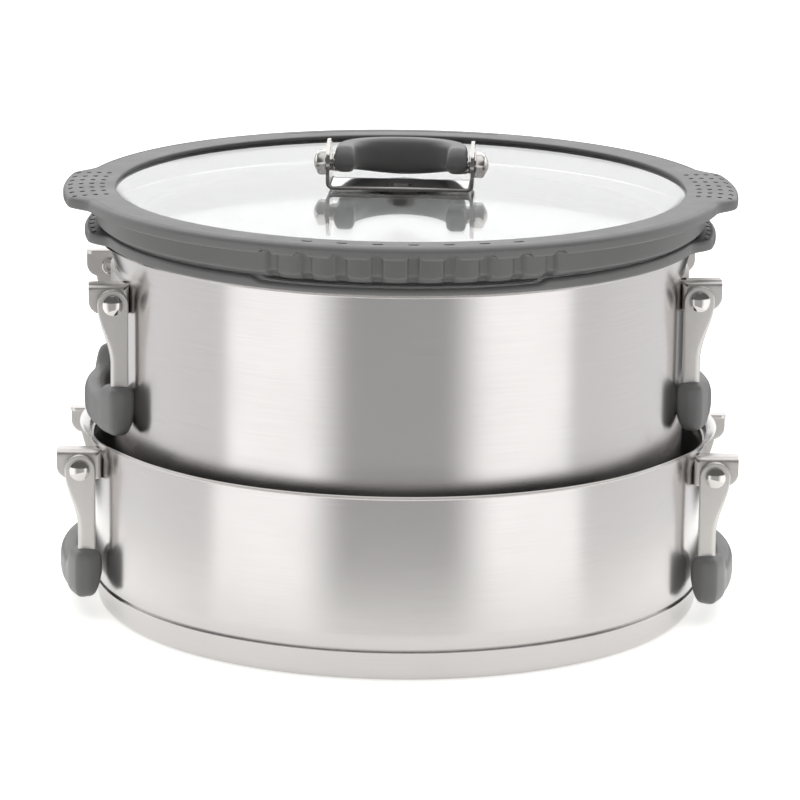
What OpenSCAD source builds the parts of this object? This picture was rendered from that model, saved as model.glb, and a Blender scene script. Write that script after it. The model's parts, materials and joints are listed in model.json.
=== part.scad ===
// Nesting stainless-steel pot set: a shallow pot, a deep pot standing inside it,
// folding side handles on both, and two stacked glass lids with silicone strainer rims.
// The origin is on the table, on the axis of the pots. +Z is up, -Y is the front.

/* [Pots] */
// Outside diameter of the lower pot
lower_d = 260; // [200:1:320]
// Height of the lower pot, table to rim
lower_h = 78; // [64:1:96]
// Height of the upper pot, its own underside to its rim
upper_h = 151; // [126:1:182]
// Radial step from the outside of the lower pot to the outside of the upper pot
nest_step = 9; // [5:0.5:14]
// Thickness of the pot sheet
wall_t = 0.8; // [0.6:0.1:1.5]
// How far the upper pot and its handles are turned, seen from above
upper_turn = 4.8; // [-12:0.1:12]

/* [Pot base] */
// Height of the steel cap that wraps the foot of a pot
cap_h = 13; // [12:0.5:20]
// Thickness of the cap sheet
cap_t = 0.8; // [0.6:0.1:1.5]
// Thickness of the aluminium heat-spreading disc
core_t = 5.4; // [3:0.2:7]
// Inside radius of the bend between floor and wall
floor_r = 5; // [3:0.5:9]

/* [Rims and pouring spouts] */
// How far the lip of a rim is turned out all round
lip_out = 1.8; // [1:0.1:3]
// Height of the turned-out lip
lip_h = 1.8; // [1:0.1:3]
// How far a spout stands out at the rim
spout_out = 8; // [4:0.5:12]
// Height of a spout below the rim
spout_h = 6; // [4:0.5:14]
// Half of the width of a spout at the rim
spout_half = 75; // [40:1:80]

/* [Side handles] */
// Distance between the arms of a lower handle, centre to centre
lower_span = 86; // [70:1:104]
// Distance between the arms of an upper handle, centre to centre
upper_span = 82; // [62:1:92]
// Depth of the lower bracket tops below the rim
lower_drop = 5.5; // [4:0.5:10]
// Depth of the upper bracket tops below the rim
upper_drop = 13; // [10:0.5:18]
// Height of the hanging lower grips above the table
table_clear = 10; // [6:0.5:16]
// Height of the hanging upper grips above the lower rim
rim_clear = 4.2; // [2:0.2:8]
// Thickness of the bracket sheet
sheet_t = 1.5; // [1:0.1:2]
// How far a bracket stands out from the widest part of the pot
bracket_out = 13; // [11:0.5:18]
// Height of a bracket cheek
cheek_h = 12.5; // [12:0.5:16]
// Depth of the pivot below the bracket top
pivot_drop = 8; // [7:0.5:9]
// Distance of the pivot beyond the widest part of the pot
pivot_out = 3.1; // [1.5:0.1:5]
// How much nearer its pot an upper handle sits
upper_set_in = 1.8; // [0:0.1:2]
// Thickness of an arm
arm_t = 2.5; // [1.5:0.1:3.5]
// Radius of the round upper end of an arm
arm_r = 6.4; // [5.5:0.1:7]
// Width of an arm where it enters the grip
arm_foot_w = 7.4; // [5:0.1:9]
// Height of a grip
grip_h = 20.5; // [16:0.5:22]
// Thickness of a grip
grip_t = 9.5; // [8:0.5:12]
// How far the middle of a grip bows out from its ends
grip_bow = 9.5; // [8:0.5:14]
// How far the middle of a grip lies below the tops of its sleeves
grip_dip = 7; // [0:0.5:8]
// Diameter of a rivet shank
rivet_d = 5; // [4:0.1:6]

/* [Lids] */
// Thickness of a lid pane
glass_t = 4; // [3:0.5:5]
// Thickness of the silicone flange
flange_t = 5; // [4.4:0.1:7]
// How far the flange overhangs the pot
flange_out = 6; // [4:0.5:9]
// Width of the visible flange, from the pane to its outer edge
flange_w = 15.8; // [14:0.2:20]
// Depth of the pane below the flange top
pane_drop = 1.8; // [0.6:0.1:2]
// Depth of the plug below the flange
plug_h = 10.8; // [9:0.2:14]
// How far a lifting ear stands out from the flange
ear_out = 6.3; // [4:0.1:10]
// Half of the length of a lifting ear
ear_half = 35; // [30:1:42]
// How far the top lid is turned, seen from above
top_lid_turn = 2.4; // [-12:0.1:12]

/* [Lid handle] */
// Length of the handle bracket over its uprights
lid_bracket_l = 61.4; // [54:0.2:76]
// Width of the handle bracket
lid_bracket_w = 21; // [18:0.5:26]
// Height of the uprights
lid_bracket_h = 20; // [18:0.5:24]
// Height of the pivot above the underside of the bracket
lid_pivot_h = 10; // [9.5:0.1:12]
// Height of the lid grip band, which stands on edge when it is folded
lid_grip_w = 16; // [14:0.5:17]
// Thickness of the lid grip band
lid_grip_t = 8; // [6:0.5:9]
// Length of the straight arms of the lid grip, from the pivots back
lid_arm_l = 6; // [4:0.5:14]
// How far the handle is turned on its lid, seen from above
lid_handle_turn = -5.4; // [-12:0.1:12]

/* [Hidden] */
$fn = 96;
small_fn = 24;
eps = 0.01;
cut = 1;

// Fits and gaps
stack_gap = 0.2;
lid_gap = 0.3;
plug_gap = 0.7;
pivot_fit = 0.06;
slide_gap = 0.15;
core_gap = 0.05;
seam_gap = 0.4;

// Pots
lower_r = lower_d / 2;
upper_r = lower_r - nest_step;
floor_z = cap_t + core_t + wall_t;
upper_z = floor_z + stack_gap;
upper_rim_z = upper_z + upper_h;
cap_taper = 1.4;
cap_corner = 4;
neck_h = 1.5;
bend_margin = 0.6;
bend_r = min(floor_r, cap_h - floor_z - bend_margin);
spout_sink = wall_t / 2;
foot_cut_h = cap_h + neck_h + lip_h + cut;

// Side handles
washer_t = 0.8;
washer_d = 10;
top_plate_w = 7.5;
arm_wall_gap = 0.3;
cheek_corner = 5.5;
head_d = 8.4;
head_h = 2.2;
tail_d = 7;
tail_h = 1.4;
tail_bore_d = 3;
arm_taper_z = 30;
arm_taper_share = 0.8;
foot_over = 0.6;
grip_edge = 3;
grip_over = 5;
grip_wall_gap = 0.5;
sleeve_in = 6;
dip_slope = 6;
core_low = 3;
core_h = grip_h - grip_dip - 2 * core_low;
core_t_bail = 2.5;
lower_top_z = lower_h - lower_drop;
upper_top_z = upper_rim_z - upper_drop;
lower_reach = lower_top_z - pivot_drop - table_clear;
upper_reach = upper_top_z - pivot_drop - lower_h - rim_clear;

// Lids
low_lid_z = upper_rim_z + lid_gap;
top_lid_z = low_lid_z + flange_t + stack_gap + plug_h;
pane_grip = 5;
pane_gap = 0.1;
pane_lip = 2.4;
skirt_t = 4.2;
plug_chamfer = 2.6;
flange_edge = 1.2;
slot_count = 7;
groove_count = 9;
groove_pitch = 14.3;
groove_w = 4.6;
groove_d = 1;
notch_w = 5.4;
notch_h = 1.8;
slot_l = 4;
slot_w = 1.6;
hole_d = 2;
hole_rows = 4;
hole_columns = 7;
hole_edge = 3.1;
hole_pitch = 4.45;
hole_step = 8.7;
lip_half = 60;
lip_w = 6.5;
lip_drop = 1.7;
lip_slope = 3;
vent_w = 1;
vent_d = 1.2;
vent_half = 47;

// Lid handle
gasket_t = 0.8;
gasket_d = 19;
lid_sheet_t = 1.5;
lid_screw_d = 5;
lid_head_d = 10;
lid_head_h = 0.8;
under_washer_d = 14;
under_washer_t = 1.6;
under_nut_w = 10;
under_nut_h = 4.4;
pane_hole_gap = 0.5;
lid_bolt_d = 4.6;
lid_bolt_head_d = 7;
lid_bolt_head_h = 0.8;
cap_nut_w = 10;
cap_nut_h = 3.4;
cap_dome_h = 1.6;
nut_washer_t = 0.8;
nut_washer_d = 11;
wave_t = 0.6;
wave_d = 7.6;
eye_d = 8;
eye_cover = 1.4;
lid_grip_rest = 0.4;
bolt_room = 0.3;
lid_core_h = 7;
lid_core_t = 2.2;
lid_grip_edge = 2.5;
pane_top_z = top_lid_z + flange_t - pane_drop;
lid_bracket_z = pane_top_z + gasket_t;
lid_pivot_z = lid_bracket_z + lid_pivot_h;
lid_inner = lid_bracket_l / 2 - lid_sheet_t;
eye_x = lid_inner - lid_bolt_head_h - wave_t - slide_gap;
lid_arc_r = eye_x - lid_grip_t / 2;
lid_grip_low = pane_top_z + lid_grip_rest - lid_pivot_z;
lid_end_low = lid_sheet_t + lid_gap - lid_pivot_h;

// Colours
steel = [0.80, 0.79, 0.77];
polished = [0.88, 0.88, 0.87];
aluminium = [0.70, 0.71, 0.72];
silicone = [0.36, 0.37, 0.38];
glass = [0.86, 0.91, 0.90, 0.45];

SIDES = ["left", "right"];

// Pots

// The spout cone is set back so far that it meets the wall at spout_half.
function spout_back(r) =
    let (chord = sqrt(r * r - spout_half * spout_half), tip = r + spout_out)
    (tip * tip - chord * chord - spout_half * spout_half) / (2 * (tip - chord));

// Cones that swell the wall into the two spouts; inset moves their face inwards.
module spout_cones(r, h, inset) {
    back = spout_back(r);
    foot = r - spout_sink - back - inset;
    mouth = r + spout_out - back - inset;
    slope = (mouth - foot) / spout_h;
    over = inset > 0 ? cut : 0;
    for (side = [0, 180])
        rotate([0, 0, side])
            translate([back, 0, h - spout_h])
                cylinder(r1 = foot, r2 = mouth + slope * over, h = spout_h + over);
}

// Everything inside the outer face of a pot, spouts included.
module pot_envelope(r, h) {
    cylinder(r = r, h = h);
    spout_cones(r, h, 0);
}

// Half section of a pot's outside (inset 0) or of its hollow (inset wall_t).
module pot_section(r, h, inset) {
    foot_r = r - cap_t - inset;
    bend = bend_r + wall_t - inset;
    low = cap_t + core_t + inset;
    over = inset > 0 ? cut : 0;
    lip = lip_out * (1 + over / lip_h);
    translate([0, low])
        square([foot_r - bend, bend]);
    translate([foot_r - bend, low + bend])
        intersection() {
            circle(bend);
            translate([0, -bend])
                square(bend);
        }
    translate([0, low + bend])
        square([foot_r, cap_h - low - bend]);
    polygon([
        [0, cap_h], [foot_r, cap_h], [r - inset, cap_h + neck_h], [r - inset, h - lip_h],
        [r - inset + lip, h + over], [0, h + over]
    ]);
}

module pot_shell(r, h) {
    color(steel)
        difference() {
            union() {
                rotate_extrude() pot_section(r, h, 0);
                spout_cones(r, h, 0);
            }
            rotate_extrude() pot_section(r, h, wall_t);
            spout_cones(r, h, wall_t);
        }
}

// Half section inside the face of the base cap; inset 0 is its outside, cap_t its inside.
module cap_section(r, inset, top) {
    foot_r = r - cap_taper - inset;
    corner = cap_corner - inset;
    translate([0, inset])
        square([foot_r - corner, corner]);
    translate([foot_r - corner, cap_corner])
        intersection() {
            circle(corner);
            translate([0, -corner])
                square(corner);
        }
    polygon([[0, cap_corner], [foot_r, cap_corner], [r - inset, top], [0, top]]);
}

// Aluminium pressed between the cap and the floor of the pot.
module base_core(r) {
    color(aluminium)
        difference() {
            intersection() {
                rotate_extrude() cap_section(r, cap_t, cap_h - seam_gap);
                cylinder(r = r, h = floor_z);
            }
            rotate_extrude() pot_section(r, foot_cut_h, 0);
        }
}

module base_cap(r) {
    color(steel)
        difference() {
            rotate_extrude() cap_section(r, 0, cap_h - seam_gap);
            rotate_extrude() pot_section(r, foot_cut_h, 0);
            intersection() {
                rotate_extrude() cap_section(r, cap_t, cap_h - seam_gap);
                cylinder(r = r, h = floor_z);
            }
        }
}

// Side handles, drawn on the +X side of a pot; end is +1 or -1 along Y

function cheek_y(span) = span / 2 - arm_t / 2 - slide_gap - washer_t;

module at_end(end) {
    if (end > 0)
        children();
    else
        mirror([0, 1, 0]) children();
}

// Distance of the pivots from the pot's axis: far enough out for the arms to clear the wall.
function set_in(r) = r < lower_r ? upper_set_in : 0;
function wall_x(r, y) = sqrt(r * r - y * y);
function pivot_x(r, span) =
    max(r + pivot_out - set_in(r), wall_x(r, (span - arm_t) / 2) + arm_wall_gap + arm_r);

// A round bar along Y at the pivot, from y0 to y1.
module pivot_bar(x, z, d, y0, y1) {
    translate([x, y1, z])
        rotate([90, 0, 0])
            cylinder(d = d, h = y1 - y0);
}

module cheek_outline(x_in, x_out, z_top) {
    translate([x_in, z_top - cheek_h + cheek_corner])
        square([x_out - x_in, cheek_h - cheek_corner]);
    translate([x_in, z_top - cheek_h])
        square([x_out - x_in - cheek_corner, cheek_corner]);
    translate([x_out - cheek_corner, z_top - cheek_h + cheek_corner])
        circle(cheek_corner);
}

// One bent sheet for each handle: a saddle welded round the wall, an upright cheek at both of its ends
// and a top plate turned inwards from each cheek.
module bracket(r, h, z_top, span) {
    y_out = cheek_y(span);
    x_in = wall_x(r, y_out) - cut;
    x_out = r + bracket_out - set_in(r);
    x = pivot_x(r, span);
    color(polished)
        difference() {
            union() {
                for (end = [-1, 1])
                    at_end(end) {
                        translate([0, y_out, 0])
                            rotate([90, 0, 0])
                                linear_extrude(sheet_t) cheek_outline(x_in, x_out, z_top);
                        translate([x_in, y_out - top_plate_w, z_top - sheet_t])
                            cube([x_out - x_in, top_plate_w, sheet_t]);
                    }
                intersection() {
                    translate([0, 0, z_top - cheek_h])
                        cylinder(r = r + sheet_t, h = cheek_h);
                    translate([x_in, -y_out + sheet_t / 2, z_top - cheek_h])
                        cube([r, 2 * y_out - sheet_t, cheek_h]);
                }
            }
            pot_envelope(r, h);
            for (end = [-1, 1])
                at_end(end)
                    pivot_bar(x, z_top - pivot_drop, rivet_d, y_out - sheet_t - cut, y_out + cut);
        }
}

// Domed head outside the arm, shank through arm, washer and cheek, hollow tail inside.
module rivet(r, z, span, end) {
    x = pivot_x(r, span);
    y_out = cheek_y(span);
    y_head = span / 2 + arm_t / 2 + slide_gap;
    y_in = y_out - sheet_t;
    dome_r = (head_h * head_h + head_d * head_d / 4) / (2 * head_h);
    at_end(end) {
        difference() {
            union() {
                pivot_bar(x, z, rivet_d, y_in - tail_h, y_head + eps);
                pivot_bar(x, z, tail_d, y_in - tail_h, y_in);
                intersection() {
                    translate([x, y_head + head_h - dome_r, z])
                        sphere(dome_r);
                    pivot_bar(x, z, head_d, y_head, y_head + head_h);
                }
            }
            pivot_bar(x, z, tail_bore_d, y_in - tail_h - cut, y_in + sheet_t / 2);
        }
    }
}

module rivets(r, z_top, span) {
    color(polished)
        for (end = [-1, 1])
            rivet(r, z_top - pivot_drop, span, end);
}

module washers(r, z_top, span) {
    x = pivot_x(r, span);
    z = z_top - pivot_drop;
    y = cheek_y(span);
    color(polished)
        for (end = [-1, 1])
            at_end(end)
                difference() {
                    pivot_bar(x, z, washer_d, y, y + washer_t);
                    pivot_bar(x, z, rivet_d, y - cut, y + washer_t + cut);
                }
}

// The grip follows an arc in plan: its radius and the place of its centre.
function arc_r(span) = (span * span / 4 + grip_bow * grip_bow) / (2 * grip_bow);
function arc_x(r, span) = pivot_x(r, span) - arm_r + arm_foot_w / 2 + grip_bow - arc_r(span);
function arc_half(span) = asin(span / 2 / arc_r(span));

// A bar of the given section bent along the grip's arc, from z0 to z0 + h.
module arc_bar(r, span, t, z0, h) {
    half = arc_half(span);
    translate([arc_x(r, span), 0, 0])
        rotate([0, 0, -half])
            rotate_extrude(angle = 2 * half)
                translate([arc_r(span) - t / 2, z0])
                    square([t, h]);
}

// Underside of the bent core, inside the lowered middle of the grip.
function core_z(z, reach) = z - reach + core_low;

// Side outline of an arm: round at the pivot, straight inside edge, tapered outside edge.
// It is widened by grow where the grip leaves room for it.
module arm_outline(x, z, reach, grow) {
    x_in = x - arm_r - grow;
    x_foot = x - arm_r + arm_foot_w + grow;
    foot_z = core_z(z, reach) - foot_over;
    taper_z = min(arm_taper_z, (z - foot_z) * arm_taper_share);
    translate([x, z])
        circle(arm_r + grow);
    polygon([
        [x_in, z], [x + arm_r + grow, z], [x_foot, z - taper_z],
        [x_foot, foot_z - grow], [x_in, foot_z - grow]
    ]);
}

// The steel of a handle in one piece: two arms and the bent core that the grip covers.
module bail_solid(r, z, reach, span, grow) {
    for (end = [-1, 1])
        at_end(end)
            translate([0, span / 2 + arm_t / 2 + grow, 0])
                rotate([90, 0, 0])
                    linear_extrude(arm_t + 2 * grow) arm_outline(pivot_x(r, span), z, reach, grow);
    arc_bar(r, span, core_t_bail + 2 * grow, core_z(z, reach) - grow, core_h + 2 * grow);
}

module bail(r, z_top, reach, span) {
    x = pivot_x(r, span);
    z = z_top - pivot_drop;
    color(polished)
        difference() {
            bail_solid(r, z, reach, span, 0);
            for (end = [-1, 1])
                at_end(end)
                    pivot_bar(x, z, rivet_d + 2 * pivot_fit, span / 2 - arm_t, span / 2 + arm_t);
        }
}

// Section of a grip: a rectangle with round edges, centred on its arc.
module grip_section(t, h, edge) {
    translate([-t / 2, edge])
        square([t, h - 2 * edge]);
    translate([-t / 2 + edge, 0])
        square([t - 2 * edge, h]);
    for (x = [-t / 2 + edge, t / 2 - edge])
        for (y = [edge, h - edge])
            translate([x, y])
                circle(edge);
}

// The hollow that lowers the top of a grip between its sleeves.
module grip_hollow(r, z_high, span) {
    mouth = span / 2 - sleeve_in;
    foot = mouth - dip_slope;
    translate([0, 0, z_high])
        rotate([90, 0, 90])
            linear_extrude(2 * r)
                polygon([
                    [-mouth, cut], [-mouth, 0], [-foot, -grip_dip], [foot, -grip_dip], [mouth, 0], [mouth, cut]
                ]);
}

// Silicone grip: a bowed band moulded over the core and the feet of the arms, clear of the wall.
module grip(r, z_top, reach, span) {
    z = z_top - pivot_drop;
    half = arc_half(span) + grip_over / arc_r(span) * 180 / PI;
    color(silicone)
        difference() {
            translate([arc_x(r, span), 0, z - reach])
                rotate([0, 0, -half])
                    rotate_extrude(angle = 2 * half)
                        translate([arc_r(span), 0])
                            grip_section(grip_t, grip_h, grip_edge);
            bail_solid(r, z, reach, span, core_gap);
            if (grip_dip > 0)
                grip_hollow(r, z - reach + grip_h, span);
            translate([0, 0, z - reach - cut])
                cylinder(r = r + grip_wall_gap, h = grip_h + 2 * cut);
        }
}

module on_lower(side) {
    rotate([0, 0, side == "right" ? 0 : 180])
        children();
}

module on_upper(side) {
    translate([0, 0, upper_z])
        rotate([0, 0, upper_turn + (side == "right" ? 0 : 180)])
            children();
}

// Lids

function plug_r(r) = r - wall_t - plug_gap;
function flange_r(r) = r + flange_out;
function sight_r(r) = flange_r(r) - flange_w;
function pane_r(r) = sight_r(r) + pane_grip;

module pane(r, hole_d) {
    color(glass)
        translate([0, 0, flange_t - pane_drop - glass_t])
            difference() {
                cylinder(r = pane_r(r), h = glass_t);
                if (hole_d > 0)
                    translate([0, 0, -cut])
                        cylinder(d = hole_d, h = glass_t + 2 * cut);
            }
}

// Half section of the silicone rim: flange, pane groove and hollow plug.
module rim_section(r) {
    low = flange_t - pane_drop - glass_t - pane_gap - pane_lip;
    out = flange_r(r);
    difference() {
        union() {
            translate([sight_r(r), 0])
                square([flange_w - flange_edge, flange_t]);
            translate([sight_r(r), flange_edge])
                square([flange_w, flange_t - 2 * flange_edge]);
            for (y = [flange_edge, flange_t - flange_edge])
                translate([out - flange_edge, y])
                    circle(flange_edge);
            translate([sight_r(r), low])
                square([plug_r(r) - sight_r(r), -low + eps]);
            polygon([
                [plug_r(r) - skirt_t, eps], [plug_r(r), eps], [plug_r(r), plug_chamfer - plug_h],
                [plug_r(r) - plug_chamfer, -plug_h], [plug_r(r) - skirt_t, -plug_h]
            ]);
        }
        translate([sight_r(r) - cut, flange_t - pane_drop - glass_t - pane_gap])
            square([pane_grip + cut + pane_gap, glass_t + 2 * pane_gap]);
        translate([sight_r(r) - cut, flange_t - pane_drop])
            square([cut + pane_gap, pane_drop + cut]);
    }
}

// Lifting ears on the flange, over the spouts.
module ears(r) {
    intersection() {
        difference() {
            cylinder(r = flange_r(r) + ear_out, h = flange_t);
            translate([0, 0, -cut])
                cylinder(r = flange_r(r) - 2 * flange_edge, h = flange_t + 2 * cut);
        }
        translate([-2 * r, -ear_half, 0])
            cube([4 * r, 2 * ear_half, flange_t]);
    }
}

// Rows of drain holes through both ears, each row on an arc; the inner row runs down the plug.
module ear_holes(r) {
    for (side = [0, 180])
        for (row = [0 : hole_rows - 1])
            for (column = [0 : hole_columns - 1])
                rotate([0, 0, side + (column - (hole_columns - 1) / 2) * hole_step * 180 / PI / flange_r(r)])
                    translate([flange_r(r) + ear_out - hole_edge - hole_pitch * row, 0, -plug_h - cut])
                        cylinder(d = hole_d, h = plug_h + flange_t + 2 * cut, $fn = small_fn);
}

// Nine drain grooves in the front of the plug, with a notch in the flange over each.
module front_drains(r) {
    step = groove_pitch / plug_r(r) * 180 / PI;
    for (i = [0 : groove_count - 1])
        rotate([0, 0, -90 + (i - (groove_count - 1) / 2) * step]) {
            translate([plug_r(r) - groove_d, -groove_w / 2, -plug_h - cut])
                cube([2 * groove_d, groove_w, plug_h + cut]);
            translate([plug_r(r) - groove_d, -notch_w / 2, -cut])
                cube([flange_out + 3 * groove_d + wall_t, notch_w, notch_h + cut]);
        }
}

// Seven oval slots through the flange, each open to a groove under it.
module front_slots(r) {
    step = groove_pitch / plug_r(r) * 180 / PI;
    for (i = [0 : slot_count - 1])
        rotate([0, 0, -90 + (i - (slot_count - 1) / 2) * step])
            translate([plug_r(r) - slot_w / 2, 0, -cut]) {
                translate([-slot_w / 2, -(slot_l - slot_w) / 2, 0])
                    cube([slot_w, slot_l - slot_w, flange_t + 2 * cut]);
                for (y = [-1, 1])
                    translate([0, y * (slot_l - slot_w) / 2, 0])
                        cylinder(d = slot_w, h = flange_t + 2 * cut, $fn = small_fn);
            }
}

// The long pouring lip at the back of the flange, sunk into it between sloping ends.
module back_lip(r) {
    foot = lip_half - lip_slope;
    mouth = lip_half + lip_slope * cut / lip_drop;
    difference() {
        translate([0, 2 * r, flange_t])
            rotate([90, 0, 0])
                linear_extrude(2 * r)
                    polygon([[-foot, -lip_drop], [foot, -lip_drop], [mouth, cut], [-mouth, cut]]);
        translate([0, 0, flange_t - lip_drop - cut])
            cylinder(r = flange_r(r) - lip_w, h = lip_drop + 3 * cut);
    }
}

// A narrow steam groove along the back of the flange.
module back_vent(r) {
    vent_r = flange_r(r) - lip_w;
    intersection() {
        translate([0, 0, flange_t - vent_d])
            difference() {
                cylinder(r = vent_r + vent_w, h = vent_d + cut);
                translate([0, 0, -cut])
                    cylinder(r = vent_r, h = vent_d + 3 * cut);
            }
        translate([-vent_half, 0, 0])
            cube([2 * vent_half, 2 * r, 2 * flange_t]);
    }
}

module rim(r, with_lip) {
    color(silicone)
        difference() {
            union() {
                rotate_extrude() rim_section(r);
                ears(r);
            }
            ear_holes(r);
            front_drains(r);
            front_slots(r);
            if (with_lip)
                back_lip(r);
            else
                back_vent(r);
        }
}

// The lower lid lies with its slots at the back, the top lid with them at the front.
module on_low_lid() {
    translate([0, 0, low_lid_z])
        rotate([0, 0, 180])
            children();
}

module on_top_lid() {
    translate([0, 0, top_lid_z])
        rotate([0, 0, top_lid_turn])
            children();
}

// Lid handle, with the pivots along X

module on_handle() {
    rotate([0, 0, top_lid_turn + lid_handle_turn])
        children();
}

// A round bar along X from x0 to x1, at the pivot height.
module lid_bar(d, x0, x1) {
    translate([x0, 0, lid_pivot_z])
        rotate([0, 90, 0])
            cylinder(d = d, h = x1 - x0);
}

module both_ends() {
    children();
    mirror([1, 0, 0]) children();
}

module lid_handle_bracket() {
    round_r = lid_bracket_w / 2;
    color(polished)
        on_handle()
            difference() {
                union() {
                    translate([-lid_bracket_l / 2, -round_r, lid_bracket_z])
                        cube([lid_bracket_l, lid_bracket_w, lid_sheet_t]);
                    both_ends()
                        intersection() {
                            translate([lid_inner, -round_r, lid_bracket_z])
                                cube([lid_sheet_t, lid_bracket_w, lid_bracket_h]);
                            union() {
                                translate([lid_inner - cut, -round_r, lid_bracket_z])
                                    cube([lid_sheet_t + 2 * cut, lid_bracket_w, lid_bracket_h - round_r]);
                                translate([lid_inner - cut, 0, lid_bracket_z + lid_bracket_h - round_r])
                                    rotate([0, 90, 0])
                                        cylinder(r = round_r, h = lid_sheet_t + 2 * cut);
                            }
                        }
                }
                both_ends()
                    lid_bar(lid_bolt_d, lid_inner - cut, lid_bracket_l / 2 + cut);
                translate([0, 0, lid_bracket_z - cut])
                    cylinder(d = lid_screw_d, h = lid_sheet_t + 2 * cut);
            }
}

module lid_gasket() {
    color(silicone)
        translate([0, 0, pane_top_z])
            difference() {
                cylinder(d = gasket_d, h = gasket_t);
                translate([0, 0, -cut])
                    cylinder(d = lid_screw_d, h = gasket_t + 2 * cut);
            }
}

module lid_screw() {
    low = pane_top_z - glass_t - under_washer_t - under_nut_h;
    head_z = lid_bracket_z + lid_sheet_t;
    color(polished) {
        translate([0, 0, low])
            cylinder(d = lid_screw_d, h = head_z - low + eps);
        translate([0, 0, head_z])
            cylinder(d = lid_head_d, h = lid_head_h);
    }
}

module lid_under_washer() {
    color(silicone)
        translate([0, 0, pane_top_z - glass_t - under_washer_t])
            difference() {
                cylinder(d = under_washer_d, h = under_washer_t);
                translate([0, 0, -cut])
                    cylinder(d = lid_screw_d, h = under_washer_t + 2 * cut);
            }
}

module lid_under_nut() {
    color(polished)
        translate([0, 0, pane_top_z - glass_t - under_washer_t - under_nut_h])
            difference() {
                cylinder(d = under_nut_w / cos(30), h = under_nut_h, $fn = 6);
                translate([0, 0, -cut])
                    cylinder(d = lid_screw_d, h = under_nut_h + 2 * cut);
            }
}

// Shouldered bolts: a round head inside, a shank out through eye, upright and nut.
module lid_pivot_bolts() {
    x_head = lid_inner - lid_bolt_head_h;
    x_tip = lid_bracket_l / 2 + nut_washer_t + cap_nut_h;
    color(polished)
        on_handle()
            both_ends() {
                lid_bar(lid_bolt_head_d, x_head, lid_inner);
                lid_bar(lid_bolt_d, x_head, x_tip);
                lid_bar(lid_bolt_d, lid_arc_r - lid_core_t / 2 - slide_gap, x_head + eps);
            }
}

module lid_nut_washers() {
    x = lid_bracket_l / 2;
    color(polished)
        on_handle()
            both_ends()
                difference() {
                    lid_bar(nut_washer_d, x, x + nut_washer_t);
                    lid_bar(lid_bolt_d, x - cut, x + nut_washer_t + cut);
                }
}

module lid_cap_nuts() {
    x = lid_bracket_l / 2 + nut_washer_t;
    across = cap_nut_w / cos(30);
    dome_base = cap_nut_w - 2 * cap_dome_h;
    color(polished)
        on_handle()
            both_ends()
                difference() {
                    union() {
                        translate([x, 0, lid_pivot_z])
                            rotate([0, 90, 0])
                                cylinder(d = across, h = cap_nut_h, $fn = 6);
                        translate([x + cap_nut_h - eps, 0, lid_pivot_z])
                            rotate([0, 90, 0])
                                cylinder(d1 = cap_nut_w, d2 = dome_base, h = cap_dome_h);
                    }
                    lid_bar(lid_bolt_d, x - cut, x + cap_nut_h);
                }
}

module lid_wave_washers() {
    x = lid_inner - lid_bolt_head_h - wave_t;
    color(polished)
        on_handle()
            both_ends()
                difference() {
                    lid_bar(wave_d, x, x + wave_t);
                    lid_bar(lid_bolt_d, x - cut, x + wave_t + cut);
                }
}

// Sweeps a section round the lid bail: two short straight arms and a half ring behind them.
module lid_sweep() {
    translate([0, lid_arm_l, lid_pivot_z])
        rotate_extrude(angle = 180)
            translate([lid_arc_r, 0])
                children();
    both_ends()
        translate([lid_arc_r, lid_arm_l, lid_pivot_z])
            rotate([90, 0, 0])
                linear_extrude(lid_arm_l) children();
}

// Flat eyes on the pivot bolts, running into the bent core inside the lid grip.
module lid_bail_solid(grow) {
    band_mid = lid_grip_low + lid_grip_w / 2;
    lid_sweep()
        translate([-lid_core_t / 2 - grow, band_mid - lid_core_h / 2 - grow])
            square([lid_core_t + 2 * grow, lid_core_h + 2 * grow]);
    both_ends()
        lid_bar(eye_d + 2 * grow, lid_arc_r - lid_core_t / 2 - grow, eye_x + grow);
}

module lid_bail() {
    color(polished)
        on_handle()
            difference() {
                lid_bail_solid(0);
                both_ends()
                    lid_bar(lid_bolt_d + 2 * pivot_fit, lid_arc_r - lid_grip_t, eye_x + cut);
            }
}

// The band is low enough over the bracket to swing, and deepens behind it to rest on the pane.
// Its ends close round the eyes.
module lid_grip_form() {
    both_ends()
        lid_bar(eye_d + 2 * eye_cover, lid_arc_r - lid_grip_t / 2, lid_arc_r + lid_grip_t / 2);
    lid_sweep()
        translate([0, lid_end_low])
            grip_section(lid_grip_t, lid_grip_low + lid_grip_w - lid_end_low, lid_grip_edge);
    intersection() {
        lid_sweep()
            translate([0, lid_grip_low])
                grip_section(lid_grip_t, lid_grip_w, lid_grip_edge);
        translate([-lid_bracket_l, lid_bracket_w / 2 + lid_gap, pane_top_z])
            cube([2 * lid_bracket_l, lid_bracket_l, lid_bracket_h + lid_pivot_h]);
    }
}

module lid_grip() {
    color(silicone)
        on_handle()
            difference() {
                lid_grip_form();
                lid_bail_solid(core_gap);
                both_ends()
                    lid_bar(eye_d + 2 * core_gap, lid_arc_r, eye_x + cut);
                both_ends()
                    lid_bar(lid_bolt_d + 2 * bolt_room, lid_arc_r - lid_grip_t, lid_arc_r);
            }
}

// The assembly

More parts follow.
